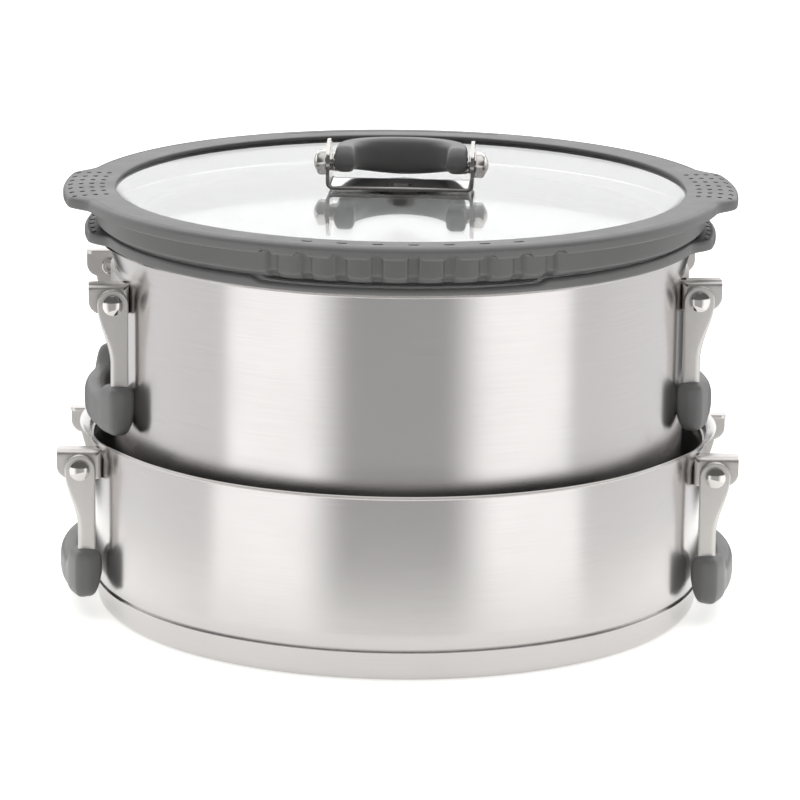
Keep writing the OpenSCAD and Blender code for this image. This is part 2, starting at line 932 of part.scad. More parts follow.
pot_shell(lower_r, lower_h);  // lower_pot_shell
base_core(lower_r);  // lower_base_core
base_cap(lower_r);  // lower_base_cap
for (side = SIDES) {
    on_lower(side) {
        bracket(lower_r, lower_h, lower_top_z, lower_span);
        rivets(lower_r, lower_top_z, lower_span);
        washers(lower_r, lower_top_z, lower_span);
        bail(lower_r, lower_top_z, lower_reach, lower_span);
        grip(lower_r, lower_top_z, lower_reach, lower_span);
    }
}
translate([0, 0, upper_z])
    rotate([0, 0, upper_turn]) {
        pot_shell(upper_r, upper_h);  // upper_pot_shell
        base_core(upper_r);  // upper_base_core
        base_cap(upper_r);  // upper_base_cap
    }
for (side = SIDES) {
    on_upper(side) {
        z_top = upper_top_z - upper_z;
        bracket(upper_r, upper_h, z_top, upper_span);
        rivets(upper_r, z_top, upper_span);
        washers(upper_r, z_top, upper_span);
        bail(upper_r, z_top, upper_reach, upper_span);
        grip(upper_r, z_top, upper_reach, upper_span);
    }
}
on_low_lid() pane(upper_r, 0);  // low_lid_pane
on_low_lid() rim(upper_r, true);  // low_lid_rim
on_top_lid() pane(lower_r, lid_screw_d + 2 * pane_hole_gap);  // top_lid_pane
on_top_lid() rim(lower_r, false);  // top_lid_rim
lid_handle_bracket();
lid_gasket();
lid_screw();
lid_under_washer();
lid_under_nut();
lid_pivot_bolts();
lid_nut_washers();
lid_cap_nuts();
lid_wave_washers();
lid_bail();
lid_grip();
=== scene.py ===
"""Nesting stainless-steel pot set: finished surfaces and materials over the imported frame.

A shallow pot, a deep pot standing in it, folding side handles on both and two stacked glass strainer lids.
Shapes are worked out in millimetres and put into the meshes in metres. +Z is up and -Y is the front.
"""
import json
import math
from dataclasses import dataclass
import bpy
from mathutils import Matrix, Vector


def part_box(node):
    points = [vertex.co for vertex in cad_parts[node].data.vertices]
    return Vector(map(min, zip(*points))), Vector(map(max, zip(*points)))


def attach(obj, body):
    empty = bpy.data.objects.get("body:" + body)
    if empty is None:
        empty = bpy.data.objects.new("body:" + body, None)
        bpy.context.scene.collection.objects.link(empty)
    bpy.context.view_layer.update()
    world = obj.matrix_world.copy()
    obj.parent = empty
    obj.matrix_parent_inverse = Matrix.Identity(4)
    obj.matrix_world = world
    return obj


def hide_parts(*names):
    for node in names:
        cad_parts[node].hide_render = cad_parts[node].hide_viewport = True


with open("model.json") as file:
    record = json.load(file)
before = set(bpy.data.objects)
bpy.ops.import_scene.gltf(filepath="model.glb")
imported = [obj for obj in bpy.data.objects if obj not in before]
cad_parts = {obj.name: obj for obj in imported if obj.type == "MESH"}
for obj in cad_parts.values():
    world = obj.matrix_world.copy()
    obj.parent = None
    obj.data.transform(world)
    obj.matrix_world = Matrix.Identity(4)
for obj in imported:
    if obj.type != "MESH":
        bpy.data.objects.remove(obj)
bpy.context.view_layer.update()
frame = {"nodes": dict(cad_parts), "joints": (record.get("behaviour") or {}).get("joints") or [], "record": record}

from types import SimpleNamespace

import bmesh
import bpy
import numpy as np
from bpy.props import FloatProperty, FloatVectorProperty, PointerProperty
from mathutils import Quaternion, Vector

bl_info = {
    "name": "Nesting pot set",
    "version": (1, 0, 0),
    "blender": (4, 5, 0),
    "location": "3D View > Sidebar > Pot set",
    "description": "Builds the surfaces and finishes of a nesting pot set over its packed frame",
    "category": "Object",
}

MM = 0.001
TINY = 1e-6
SURFACE_UV = "surface"
# Edges sharper than this are bevelled.
BEVEL_ANGLE = math.radians(40)
# Most values of a noise pattern lie in this span.
NOISE_SPAN = {"From Min": 0.3, "From Max": 0.7}
# Grid lines across a drain hole or slot, in halves of its width.
ACROSS_HOLE = np.array([-1.4, -1.05, -0.7, 0, 0.7, 1.05, 1.4])
# How many ear holes or slots, and how many drain notches, lie on each side of the middle one.
HOLES_ASIDE, NOTCHES_ASIDE = 3, 4
# Columns in a full turn of a pot, a pane, a plain fitting, and a fitting that can have six sides.
POT_TURN, PANE_TURN, PLAIN_TURN, NUT_TURN = 360, 180, 64, 72
SIDES = {"right": 0.0, "left": math.pi}
JOINTS = {joint["name"]: joint for joint in frame["joints"]}
BODY_OF = {node: body for body, nodes in frame["record"]["behaviour"]["bodies"].items() for node in nodes}


def linear(hex_colour):
    """Linear RGBA of an sRGB hex colour."""
    parts = np.array([int(hex_colour[i:i + 2], 16) for i in (1, 3, 5)]) / 255
    low, high = parts / 12.92, ((parts + 0.055) / 1.055) ** 2.4
    return (*np.where(parts <= 0.04045, low, high).tolist(), 1.0)


def length(name, description, millimetres):
    """A length property, shown in the scene's unit."""
    return FloatProperty(
        name=name, description=description, default=millimetres * MM, unit="LENGTH", precision=4
    )


def turn(name, description, degrees):
    """An angle property."""
    return FloatProperty(name=name, description=description, default=math.radians(degrees), subtype="ANGLE")


def colour(name, description, hex_colour):
    """A colour property, given by its sRGB hex value."""
    return FloatVectorProperty(
        name=name, description=description, default=linear(hex_colour), size=4, min=0, max=1, subtype="COLOR"
    )


def level(name, description, value):
    """A plain strength."""
    return FloatProperty(name=name, description=description, default=value, min=0)


class PotSizes(bpy.types.PropertyGroup):
    """Sizes of the two pots that the frame's boxes do not give."""

    sheet: length("Pot sheet", "Thickness of the drawn pot sheet", 0.8)
    floor_up: length("Floor height", "Underside of the pot floor above the foot", 6.2)
    floor_bend: length("Floor bend", "Inside radius between floor and wall", 5)
    cap_height: length("Cap height", "Height of the steel cap round the foot", 12.6)
    cap_seam: length("Cap seam", "Open seam between the cap and the wall", 0.4)
    cap_corner: length("Cap corner", "Radius of the cap's lower edge", 4)
    cap_taper: length("Cap taper", "How far the cap draws in at its lower edge", 1.4)
    neck: length("Neck", "Height over which the foot widens to the wall", 1.5)
    spout_out: length("Spout reach", "How far a spout stands out at the rim", 6.2)
    spout_height: length("Spout height", "Height of a spout below the rim", 10)
    spout_half: length("Spout half width", "Half of the width of a spout at the rim", 75)
    spout_dip: length("Spout dip", "How far the rim dips at a spout", 1)
    lip_out: length("Lip reach", "How far the lip of a rim is turned out", 1.8)
    spout_lip: length("Spout lip", "How far the lip is turned out at a spout", 3)
    lip_height: length("Lip height", "Height of the turned-out lip", 1.8)


class HandleSizes(bpy.types.PropertyGroup):
    """Sizes of the four folding side handles."""

    lower_span: length("Lower span", "Distance between the arms of a lower handle", 86)
    upper_span: length("Upper span", "Distance between the arms of an upper handle", 82)
    sheet: length("Bracket sheet", "Thickness of the bracket sheet", 1.5)
    beyond: length("Bracket reach", "How far a bracket reaches beyond its pivots", 9.9)
    cheek: length("Cheek height", "Height of a bracket cheek", 12.5)
    cheek_corner: length("Cheek corner", "Radius of a cheek's lower outer corner", 5.5)
    top_width: length("Top plate", "Width of a bracket's top plate", 7.5)
    washer: length("Washer thickness", "Thickness of a pivot washer", 0.8)
    washer_width: length("Washer diameter", "Diameter of a pivot washer", 10)
    play: length("Side play", "Gap on each side of an arm", 0.15)
    arm: length("Arm thickness", "Thickness of an arm", 2.5)
    arm_top: length("Arm top radius", "Radius of the round upper end of an arm", 6.4)
    arm_foot: length("Arm foot width", "Width of an arm where it enters the grip", 7.4)
    arm_taper: length("Arm taper", "Height over which an arm narrows", 25)
    shank: length("Rivet shank", "Diameter of a rivet shank", 5)
    head: length("Rivet head", "Diameter of a rivet's domed head", 8.4)
    head_height: length("Rivet head height", "Height of a rivet's domed head", 2.2)
    tail: length("Rivet tail", "Diameter of a rivet's hollow tail", 7)
    tail_height: length("Rivet tail height", "Height of a rivet's hollow tail", 1.4)
    tail_bore: length("Rivet bore", "Diameter of the bore in a rivet's tail", 3)
    bow: length("Grip bow", "How far the middle of a grip bows out", 9.5)
    grip: length("Grip thickness", "Thickness of a grip at its middle", 9.5)
    sleeve: length("Sleeve thickness", "Thickness of a grip round the foot of an arm", 12)
    over: length("Grip overlap", "How far a grip runs on past its arms", 5)
    sleeve_in: length("Sleeve length", "From an arm to where its sleeve begins to fall", 5)
    dip: length("Grip dip", "How far the middle of a grip lies below its sleeve tops", 7)
    dip_slope: length("Dip slope", "Length over which a sleeve falls to the middle", 10)
    slant: length("Grip slant", "How far the lower wall side of a grip is drawn in", 5.5)


class LidSizes(bpy.types.PropertyGroup):
    """Sizes of the two strainer lids."""

    top_turn: turn("Top lid turn", "How far the top lid is turned, seen from above", 2.4)
    low_turn: turn("Low lid turn", "How far the low lid is turned, seen from above", 180)
    flange: length("Flange thickness", "Thickness of the silicone flange", 5)
    flange_out: length("Flange overhang", "How far the flange overhangs its pot", 6)
    flange_width: length("Flange width", "From the pane's visible edge to the flange's outer edge", 15.8)
    edge: length("Flange edge", "Radius of the flange's upper outer edge", 1.7)
    bead: length("Bead", "Distance of the fine bead line from the outer edge", 2.5)
    plug_in: length("Plug inset", "From the pot's outside to the plug's outside", 1.5)
    plug: length("Plug depth", "Depth of the plug below the flange", 10.8)
    skirt: length("Skirt", "Thickness of the plug's wall", 4.2)
    chamfer: length("Plug chamfer", "Chamfer at the plug's lower edge", 2.6)
    lip: length("Pane lip", "Silicone under the edge of the pane", 2.4)
    ear_out: length("Ear reach", "How far a lifting ear stands out", 6.3)
    ear_half: length("Ear half length", "Half of the length of a lifting ear", 33)
    ear_fillet: length("Ear shoulder", "Length of an ear's rounded shoulder", 7)
    hole: length("Hole diameter", "Diameter of a drain hole in an ear", 2)
    hole_step: length("Hole step", "Distance between the holes along an ear", 8.7)
    hole_pitch: length("Hole pitch", "Distance between the rows of holes", 4.45)
    hole_edge: length("Hole edge", "Distance of the first row from the ear's edge", 3.1)
    pitch: length("Drain pitch", "Distance between the drain grooves", 14.3)
    groove: length("Groove width", "Width of a drain groove in the plug", 4.6)
    groove_depth: length("Groove depth", "Depth of a drain groove in the plug", 1.3)
    pad: length("Pad crown", "How far the plug bulges between two grooves", 0.5)
    notch: length("Notch width", "Width of a notch under the flange", 5.4)
    notch_height: length("Notch height", "Height of a notch under the flange", 1.8)
    slot_length: length("Slot length", "Length of a drain slot in the flange", 4)
    slot_width: length("Slot width", "Width of a drain slot in the flange", 1.6)
    lip_half: length("Pouring lip", "Half of the length of the low lid's pouring lip", 60)
    lip_drop: length("Pouring lip drop", "How far the pouring lip lies below the flange", 1.7)
    lip_width: length("Pouring lip width", "Width of the pouring lip", 6.5)
    vent_half: length("Vent", "Half of the length of the top lid's vent line", 47)
    vent_in: length("Vent inset", "Distance of the vent line from the flange's edge", 6.5)


class LidHandleSizes(bpy.types.PropertyGroup):
    """Sizes of the folding handle on the top lid."""

    sheet: length("Bracket sheet", "Thickness of the bracket sheet", 1.5)
    half_length: length("Half length", "Half of the bracket's length over its uprights", 31.1)
    half_width: length("Half width", "Half of the bracket's width", 10.5)
    bend: length("Bracket bend", "Radius of the bracket's bends, at the middle of the sheet", 2.3)
    nut: length("Cap nut", "Width of a cap nut over its flats", 10)
    nut_height: length("Cap nut height", "Height of a cap nut's six-sided part", 3.4)
    dome: length("Cap nut dome", "Height of a cap nut's dome", 1.6)
    washer: length("Nut washer", "Diameter of the washer under a cap nut", 11)
    washer_thick: length("Nut washer thickness", "Thickness of the washer under a cap nut", 0.8)
    bolt: length("Bolt", "Diameter of a pivot bolt", 4.6)
    bolt_head: length("Bolt head", "Diameter of a pivot bolt's head", 7)
    bolt_head_thick: length("Bolt head height", "Height of a pivot bolt's head", 0.8)
    wave: length("Wave washer", "Thickness of a wave washer", 0.6)
    eye: length("Eye", "Diameter of an eye of the lid bail", 8)
    eye_length: length("Eye length", "Length of an eye along its bolt", 5.1)
    boss: length("Grip boss", "Radius of the grip's ends round the eyes, seen from above", 5.4)
    end_up: length("Grip end top", "Top of the grip's ends above the pivots", 7.2)
    end_down: length("Grip end underside", "Underside of the grip's ends below the pivots", 4.1)
    ring: length("Grip ring", "Radius of the grip's bend, at the middle of the band", 23.65)
    arm: length("Grip arm", "Length of the grip's straight arms", 6)
    band: length("Grip band", "Thickness of the grip band", 8.5)
    grip_up: length("Grip top", "Top of the folded grip above the pivots, at its middle", 5.9)
    grip_down: length("Grip underside", "Underside of the folded grip below the pivots, at its middle", 9.8)


class FinishColours(bpy.types.PropertyGroup):
    """Colours of the materials."""

    pot_steel: colour("Pot steel", "Brushed stainless steel of the pots", "#CCC9C8")
    fitting_steel: colour("Fitting steel", "Polished stainless steel of the fittings", "#D0CDCA")
    arm_steel: colour("Arm steel", "Blasted stainless steel of the handle arms", "#D8D5D2")
    silicone: colour("Silicone", "Moulded silicone of the lid rims", "#636363")
    grip_silicone: colour("Grip silicone", "Moulded silicone of the grips", "#6C6C6C")
    glass: colour("Glass", "Tempered glass of the lids", "#FCFDFD")
    aluminium: colour("Aluminium", "Pressed aluminium in the bases", "#C3C5C7")
    rubber: colour("Rubber", "Seals under the lid handle", "#8C8C8C")
    floor: colour("Floor", "Pale studio floor", "#F1F1EF")


class StageSizes(bpy.types.PropertyGroup):
    """Camera, floor and light."""

    lens: level("Lens", "Focal length in millimetres", 189.4)
    distance: length("Distance", "From the camera to the point that it looks at", 1800)
    elevation: turn("Elevation", "Angle of the camera above the horizon", 13.65)
    roll: turn("Roll", "Turn of the camera about its own axis", 0.67)
    aim_side: length("Aim sideways", "Place of the point that the camera looks at, along X", 0.68)
    aim_up: length("Aim height", "Height of the point that the camera looks at", 85.76)
    floor_half: length("Floor", "Half of the width of the floor", 30000)
    table: length("Table", "Radius of the part of the floor that the steel reflects", 240)
    front_dark: level("Front", "Light from behind the camera", 0.57)
    soft_boxes: level("Soft boxes", "Light of the two side panels", 1.7)
    room: level("Room", "Light from the sides", 1.03)
    back_low: level("Back below", "Light from behind the pots, below the horizon", 0.08)
    front_high: level("Front above", "Light from in front, above the horizon", 0.16)
    back_high: level("Back above", "Light from behind the pots, above the horizon", 1.58)
    overhead: level("Overhead", "Light from above", 1.6)
    glow: level("Floor glow", "Light of the floor itself, which takes up the shadow at the base", 0.65)


SIZE_GROUPS = {
    "potset_pots": PotSizes,
    "potset_handles": HandleSizes,
    "potset_lids": LidSizes,
    "potset_lid_handle": LidHandleSizes,
    "potset_colours": FinishColours,
    "potset_stage": StageSizes,
}


def in_mm(group):
    """The values of a property group, with its lengths in millimetres."""
    values = {}
    for name in group.__annotations__:
        value = getattr(group, name)
        values[name] = value / MM if group.bl_rna.properties[name].unit == "LENGTH" else value
    return SimpleNamespace(**values)


def node_box(node):
    """Lowest and highest corner of a frame node, in millimetres."""
    low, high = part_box(node)
    return np.array(low) / MM, np.array(high) / MM


@dataclass
class Pot:
    """Where the frame has one pot and its handles, in millimetres and radians."""

    name: str
    radius: float
    base: float
    rim: float
    turn: float
    span: float
    pivot_x: float
    pivot_z: float
    bracket_top: float
    grip_low: float
    grip_high: float


@dataclass
class Lid:
    """Where the frame has one lid, in millimetres and radians."""

    name: str
    pot_radius: float
    flange_low: float
    turn: float
    pane_low: float
    pane_high: float
    pane_radius: float


def pots(handle):
    """Both pots, read from the frame's boxes and hinges."""
    found = []
    for name, span in (("lower", handle.lower_span), ("upper", handle.upper_span)):
        cap_low, cap_high = node_box(f"{name}_base_cap")
        hinge = JOINTS[f"{name}_right_handle_swing"]
        x, y, z = np.array(hinge["pos_m"]) / MM
        grip_low, grip_high = node_box(f"{name}_right_grip")
        found.append(Pot(
            name=name,
            radius=float(np.abs([cap_low[:2], cap_high[:2]]).max()),
            base=cap_low[2],
            rim=node_box(f"{name}_pot_shell")[1][2],
            turn=math.atan2(hinge["axis"][0], -hinge["axis"][1]),
            span=span,
            pivot_x=math.hypot(x, y),
            pivot_z=z,
            bracket_top=node_box(f"{name}_right_bracket")[1][2],
            grip_low=grip_low[2],
            grip_high=grip_high[2],
        ))
    return found


def lids(lid, handle):
    """Both lids, read from the frame's boxes. The low lid fits the upper pot, the top lid the lower pot."""
    lower, upper = pots(handle)
    found = []
    for name, pot, angle in (("low", upper, lid.low_turn), ("top", lower, lid.top_turn)):
        pane_low, pane_high = node_box(f"{name}_lid_pane")
        found.append(Lid(
            name=name,
            pot_radius=pot.radius,
            flange_low=node_box(f"{name}_lid_rim")[1][2] - lid.flange,
            turn=angle,
            pane_low=pane_low[2],
            pane_high=pane_high[2],
            pane_radius=float(np.abs([pane_low[:2], pane_high[:2]]).max()),
        ))
    return found


def ease(low, high, value):
    """Smooth step: 0 below low, 1 above high, level at both ends."""
    share = np.clip((value - low) / (high - low), 0, 1)
    return share * share * (3 - 2 * share)


def circle(count, first=0.0):
    """Evenly spaced angles of a full turn."""
    return first + np.linspace(0, 2 * math.pi, count, endpoint=False)


def run(start, stop, step):
    """Straight line of points from start to stop, at most step apart."""
    start, stop = np.array(start, float), np.array(stop, float)
    count = max(1, math.ceil(np.linalg.norm(stop - start) / step))
    return start + (stop - start) * np.linspace(0, 1, count + 1)[:, None]


def bend(centre, radius, first, last, count):
    """Points on a circle from one angle to another, in degrees."""
    angles = np.radians(np.linspace(first, last, count + 1))
    return np.array(centre) + radius * np.stack([np.cos(angles), np.sin(angles)], axis=1)


def outline(*pieces):
    """Joins runs and bends into one line, and drops a point that repeats the one before."""
    line = np.concatenate(pieces)
    return line[np.r_[True, np.linalg.norm(np.diff(line, axis=0), axis=1) > TINY]]


def spin(radii, along, angles, axis="Z", at=(0, 0, 0)):
    """Turns a profile about an axis: at each angle, points lie at the profile's radii and distances along."""
    radii = np.broadcast_to(radii, (len(angles), np.shape(radii)[-1]))
    along = np.broadcast_to(along, radii.shape)
    across, up = radii * np.cos(angles)[:, None], radii * np.sin(angles)[:, None]
    order = {"X": (along, across, up), "Y": (up, along, across), "Z": (across, up, along)}[axis]
    return np.stack(order, axis=2) + np.array(at)


def turned(grid, angle):
    """The grid turned about the pots' axis."""
    x, y, z = np.moveaxis(grid, 2, 0)
    c, s = math.cos(angle), math.sin(angle)
    return np.stack([x * c - y * s, x * s + y * c, z], axis=2)


def six_sided(radii, angles, flats):
    """Radii of a profile, held inside a hexagon of the given width over its flats."""
    sixth = math.pi / 3
    from_flat = (angles + sixth / 2) % sixth - sixth / 2
    return np.minimum(np.array(radii)[None, :], (flats / 2 / np.cos(from_flat))[:, None])


def dome(radius, height, count):
    """Profile of a shallow dome as (radius, height): an arc from its edge to its pole."""
    ball = (height * height + radius * radius) / (2 * height)
    angles = np.linspace(math.asin(min(1, radius / ball)), 0, count + 1)
    return np.stack([ball * np.sin(angles), ball * np.cos(angles) - ball + height], axis=1)


def capped(grid):
    """Closes the two ends of a swept grid with their middle points."""
    first, last = grid[:1].mean(axis=1, keepdims=True), grid[-1:].mean(axis=1, keepdims=True)
    width = (1, grid.shape[1], 1)
    return np.concatenate([np.tile(first, width), grid, np.tile(last, width)])


def band(path, half, low, high, power, slant, count):
    """Soft bar carried along a path in plan: each section is a rounded rectangle, |u|^p + |w|^p = 1, with
    its own power, half thickness across the path, underside and top. slant draws in the lower part of its
    inner side."""
    slant_power = 1.3
    ahead = np.gradient(path, axis=0)
    ahead /= np.linalg.norm(ahead, axis=1, keepdims=True)
    across = np.stack([ahead[:, 1], -ahead[:, 0]], axis=1)
    angles = circle(count)
    exponent = 2 / np.broadcast_to(power, len(path))[:, None]
    u = np.sign(np.cos(angles)) * np.abs(np.cos(angles)) ** exponent
    w = np.sign(np.sin(angles)) * np.abs(np.sin(angles)) ** exponent
    lowness = np.clip(-w, 0, 1) ** slant_power
    shift = np.broadcast_to(slant, len(path))[:, None] * lowness * (1 - u) / 2
    out = half[:, None] * u + shift * (half / half.max())[:, None]
    z = (low + high)[:, None] / 2 + (high - low)[:, None] / 2 * w
    plan = path[:, None, :] + across[:, None, :] * out[:, :, None]
    return capped(np.concatenate([plan, z[:, :, None]], axis=2))


def plate(edge, spine, thickness, front_roll, back_roll):
    """Flat bar with rolled edges in (x, z), its thickness along Y. Rings run round the outline and step in
    from the edge towards the spine; their height falls off near the edge as a quarter of an ellipse."""
    roll_angles = np.radians([0, 20, 45, 70, 90])
    share_of_roll, share_of_sheet = 0.55, 0.45
    inward = spine - edge
    reach = np.linalg.norm(inward, axis=1)
    rings = []
    for side, roll in ((-1, back_roll), (1, front_roll)):
        drop = np.minimum(roll * share_of_roll, thickness * share_of_sheet)
        layers = [(roll * (1 - np.cos(a)), thickness / 2 - drop * (1 - np.sin(a))) for a in roll_angles]
        layers.append((reach, np.full(len(edge), thickness / 2)))
        made = []
        for inset, height in layers:
            share = np.clip(inset / np.maximum(reach, TINY), 0, 1)[:, None]
            flat = edge + inward * share
            made.append(np.stack([flat[:, 0], side * height, flat[:, 1]], axis=1))
        rings.append(made[::-1] if side < 0 else made)
    return np.array(rings[0] + rings[1])


def lengths(grid, axis, closed):
    """Running length along one direction of a grid, averaged over the other direction."""
    lines = np.concatenate([grid, grid.take([0], axis)], axis) if closed else grid
    steps = np.linalg.norm(np.diff(lines, axis=axis), axis=2).mean(axis=1 - axis)
    return np.r_[0, steps.cumsum()]


def mesh_of(name, skins):
    """One mesh of several grids (points, closes along its rows, closes along its columns). Neighbouring
    points give quads, seams and poles are merged, and normals point outwards. The UV map holds real lengths:
    x along the columns, y along the rows."""
    points, faces, places, start = [], [], [], 0
    for grid, closed_rows, closed_columns in skins:
        rows, columns = grid.shape[:2]
        row = np.arange(rows if closed_rows else rows - 1)
        column = np.arange(columns if closed_columns else columns - 1)
        row, column = (index.ravel() for index in np.meshgrid(row, column, indexing="ij"))
        row = np.stack([row, row + 1, row + 1, row], axis=1)
        column = np.stack([column, column, column + 1, column + 1], axis=1)
        points.append(grid.reshape(-1, 3))
        faces.append(start + row % rows * columns + column % columns)
        by_row, by_column = lengths(grid, 0, closed_rows), lengths(grid, 1, closed_columns)
        places.append(np.stack([by_column[column], by_row[row]], axis=2))
        start += rows * columns
    mesh = bpy.data.meshes.new(name)
    mesh.from_pydata((np.concatenate(points) * MM).tolist(), [], np.concatenate(faces).tolist())
    layer = mesh.uv_layers.new(name=SURFACE_UV)
    layer.uv.foreach_set("vector", (np.concatenate(places) * MM).ravel())
    shaped = bmesh.new()
    shaped.from_mesh(mesh)
    bmesh.ops.remove_doubles(shaped, verts=shaped.verts, dist=TINY)
    bmesh.ops.recalc_face_normals(shaped, faces=shaped.faces)
    shaped.to_mesh(mesh)
    shaped.free()
    return mesh


def lay(node, skins, material, sheet=0.0, bevel=0.0, crease=38):
    """Makes the piece that stands for a frame node: its mesh, its finish, and what it rides on. sheet gives a
    bare surface its thickness, bevel rounds its edges, and bends sharper than crease degrees stay sharp."""
    mesh = mesh_of(f"{node}_surface", skins)
    mesh.polygons.foreach_set("use_smooth", np.ones(len(mesh.polygons), bool))
    mesh.set_sharp_from_angle(angle=math.radians(crease))
    mesh.materials.append(material)
    piece = bpy.data.objects.new(f"{node}_surface", mesh)
    bpy.context.scene.collection.objects.link(piece)
    if sheet:
        thick = piece.modifiers.new("sheet", "SOLIDIFY")
        thick.thickness = sheet * MM
        thick.offset = 0
    if bevel:
        soft = piece.modifiers.new("edge", "BEVEL")
        soft.width = bevel * MM
        soft.segments = 3
        soft.limit_method = "ANGLE"
        soft.angle_limit = BEVEL_ANGLE
    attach(piece, BODY_OF[node])
    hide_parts(node)


def add(tree, kind, values=None, links=None, **settings):
    """Adds a node, sets its properties and input values, and links outputs to its inputs."""
    made = tree.nodes.new(kind)
    for name, value in settings.items():
        setattr(made, name, value)
    for name, value in (values or {}).items():
        made.inputs[name].default_value = value
    for name, source in (links or {}).items():
        tree.links.new(source, made.inputs[name])
    return made


def new_material(name):
    """An empty node material."""
    material = bpy.data.materials.new(name)
    material.use_nodes = True
    material.node_tree.nodes.clear()
    return material


def shaded(tone, share):
    """A colour made lighter or darker by a share."""
    return (*(min(1.0, part * share) for part in tone[:3]), 1.0)


def shown(material, values, links):
    """Ends a material with its surface: fixed values on the shader's own sockets, patterns linked."""
    surface = add(material.node_tree, "ShaderNodeBsdfPrincipled", values, links)
    add(material.node_tree, "ShaderNodeOutputMaterial", {}, {"Surface": surface.outputs["BSDF"]})
    return material


def satin_steel(colours):
    """Drawn stainless steel, satin-brushed round the pot: reflections stay sharp sideways and smear up and
    down, with faint horizontal brush marks."""
    # Real brush marks are about 0.05 mm apart; they are drawn 0.4 mm apart and 30 mm long so that they show.
    mark_apart, mark_long = 0.4 * MM, 30 * MM
    smudge_width = 35 * MM
    mark_shade = 0.9
    material = new_material("stainless_steel_drawn_satin_brushed")
    tree = material.node_tree
    place = add(tree, "ShaderNodeUVMap", uv_map=SURFACE_UV)
    stretch = add(
        tree, "ShaderNodeMapping", {"Scale": (1 / mark_apart, 1 / mark_long, 1)},
        {"Vector": place.outputs["UV"]},
    )
    marks = add(
        tree, "ShaderNodeTexNoise", {"Scale": 1.0, "Detail": 3.0, "Roughness": 0.65},
        {"Vector": stretch.outputs["Vector"]}, noise_dimensions="2D",
    )
    spot = add(tree, "ShaderNodeTexCoord")
    smudge = add(
        tree, "ShaderNodeTexNoise", {"Scale": 1 / smudge_width, "Detail": 3.0},
        {"Vector": spot.outputs["Object"]},
    )
    tone = add(
        tree, "ShaderNodeMixRGB",
        {"Color1": shaded(colours.pot_steel, mark_shade), "Color2": colours.pot_steel},
        {"Fac": marks.outputs["Fac"]},
    )
    gloss = add(
        tree, "ShaderNodeMapRange", {**NOISE_SPAN, "To Min": 0.2, "To Max": 0.25},
        {"Value": smudge.outputs["Fac"]},
    )
    relief = add(
        tree, "ShaderNodeBump", {"Strength": 0.15, "Distance": 0.02 * MM}, {"Height": marks.outputs["Fac"]}
    )
    # The tangent runs along the profile, across the brush marks, which is the way reflections smear.
    across = add(tree, "ShaderNodeTangent", direction_type="UV_MAP", uv_map=SURFACE_UV)
    return shown(material, {"Metallic": 1.0, "Anisotropic": 0.88}, {
        "Base Color": tone.outputs["Color"],
        "Roughness": gloss.outputs["Result"],
        "Normal": relief.outputs["Normal"],
        "Tangent": across.outputs["Tangent"],
    })


def stamped_steel(base, made, smooth, rough):
    """Stamped stainless steel: small fittings are tumbled to a bright polish, brackets are finished in a
    barrel and arms are blasted to an even satin; small uneven scuffs blur the reflections."""
    scuff_width, dent_width = 2.5 * MM, 9 * MM
    scuff_shade = 0.88
    material = new_material(f"stainless_steel_stamped_{made}")
    tree = material.node_tree
    spot = add(tree, "ShaderNodeTexCoord")
    scuffs = add(
        tree, "ShaderNodeTexNoise", {"Scale": 1 / scuff_width, "Detail": 5.0, "Roughness": 0.6},
        {"Vector": spot.outputs["Object"]},
    )
    dents = add(
        tree, "ShaderNodeTexNoise", {"Scale": 1 / dent_width, "Detail": 1.0},
        {"Vector": spot.outputs["Object"]},
    )
    tone = add(
        tree, "ShaderNodeMixRGB", {"Color1": shaded(base, scuff_shade), "Color2": base},
        {"Fac": scuffs.outputs["Fac"]},
    )
    gloss = add(
        tree, "ShaderNodeMapRange", {**NOISE_SPAN, "To Min": smooth, "To Max": rough},
        {"Value": scuffs.outputs["Fac"]},
    )
    relief = add(
        tree, "ShaderNodeBump", {"Strength": 0.2, "Distance": 0.1 * MM}, {"Height": dents.outputs["Fac"]}
    )
    return shown(material, {"Metallic": 1.0}, {
        "Base Color": tone.outputs["Color"],
        "Roughness": gloss.outputs["Result"],
        "Normal": relief.outputs["Normal"],
    })


def moulded_silicone(colours, name):
    """Moulded silicone from an eroded steel mould: matt, with a fine even grain, soft bright edges seen from
    low down, and a trace of dust."""
    base = getattr(colours, name)
    # The mould's grain is about 0.1 mm; it is drawn 0.5 mm wide so that it shows.
    grain_width, dust_width = 0.5 * MM, 18 * MM
    clean_shade, dusty_shade = 0.9, 1.12
    material = new_material(f"silicone_moulded_matt_{name}")
    tree = material.node_tree
    spot = add(tree, "ShaderNodeTexCoord")
    grain = add(
        tree, "ShaderNodeTexNoise", {"Scale": 1 / grain_width, "Detail": 2.0},
        {"Vector": spot.outputs["Object"]},
    )
    dust = add(
        tree, "ShaderNodeTexNoise", {"Scale": 1 / dust_width, "Detail": 6.0, "Roughness": 0.7},
        {"Vector": spot.outputs["Object"]},
    )
    tone = add(
        tree, "ShaderNodeMixRGB",
        {"Color1": shaded(base, clean_shade), "Color2": shaded(base, dusty_shade)},
        {"Fac": dust.outputs["Fac"]},
    )
    gloss = add(
        tree, "ShaderNodeMapRange", {**NOISE_SPAN, "To Min": 0.34, "To Max": 0.46},
        {"Value": dust.outputs["Fac"]},
    )
    relief = add(
        tree, "ShaderNodeBump", {"Strength": 0.15, "Distance": 0.05 * MM}, {"Height": grain.outputs["Fac"]}
    )
    return shown(material, {"IOR": 1.43, "Specular IOR Level": 0.5}, {
        "Base Color": tone.outputs["Color"],
        "Roughness": gloss.outputs["Result"],
        "Normal": relief.outputs["Normal"],
    })


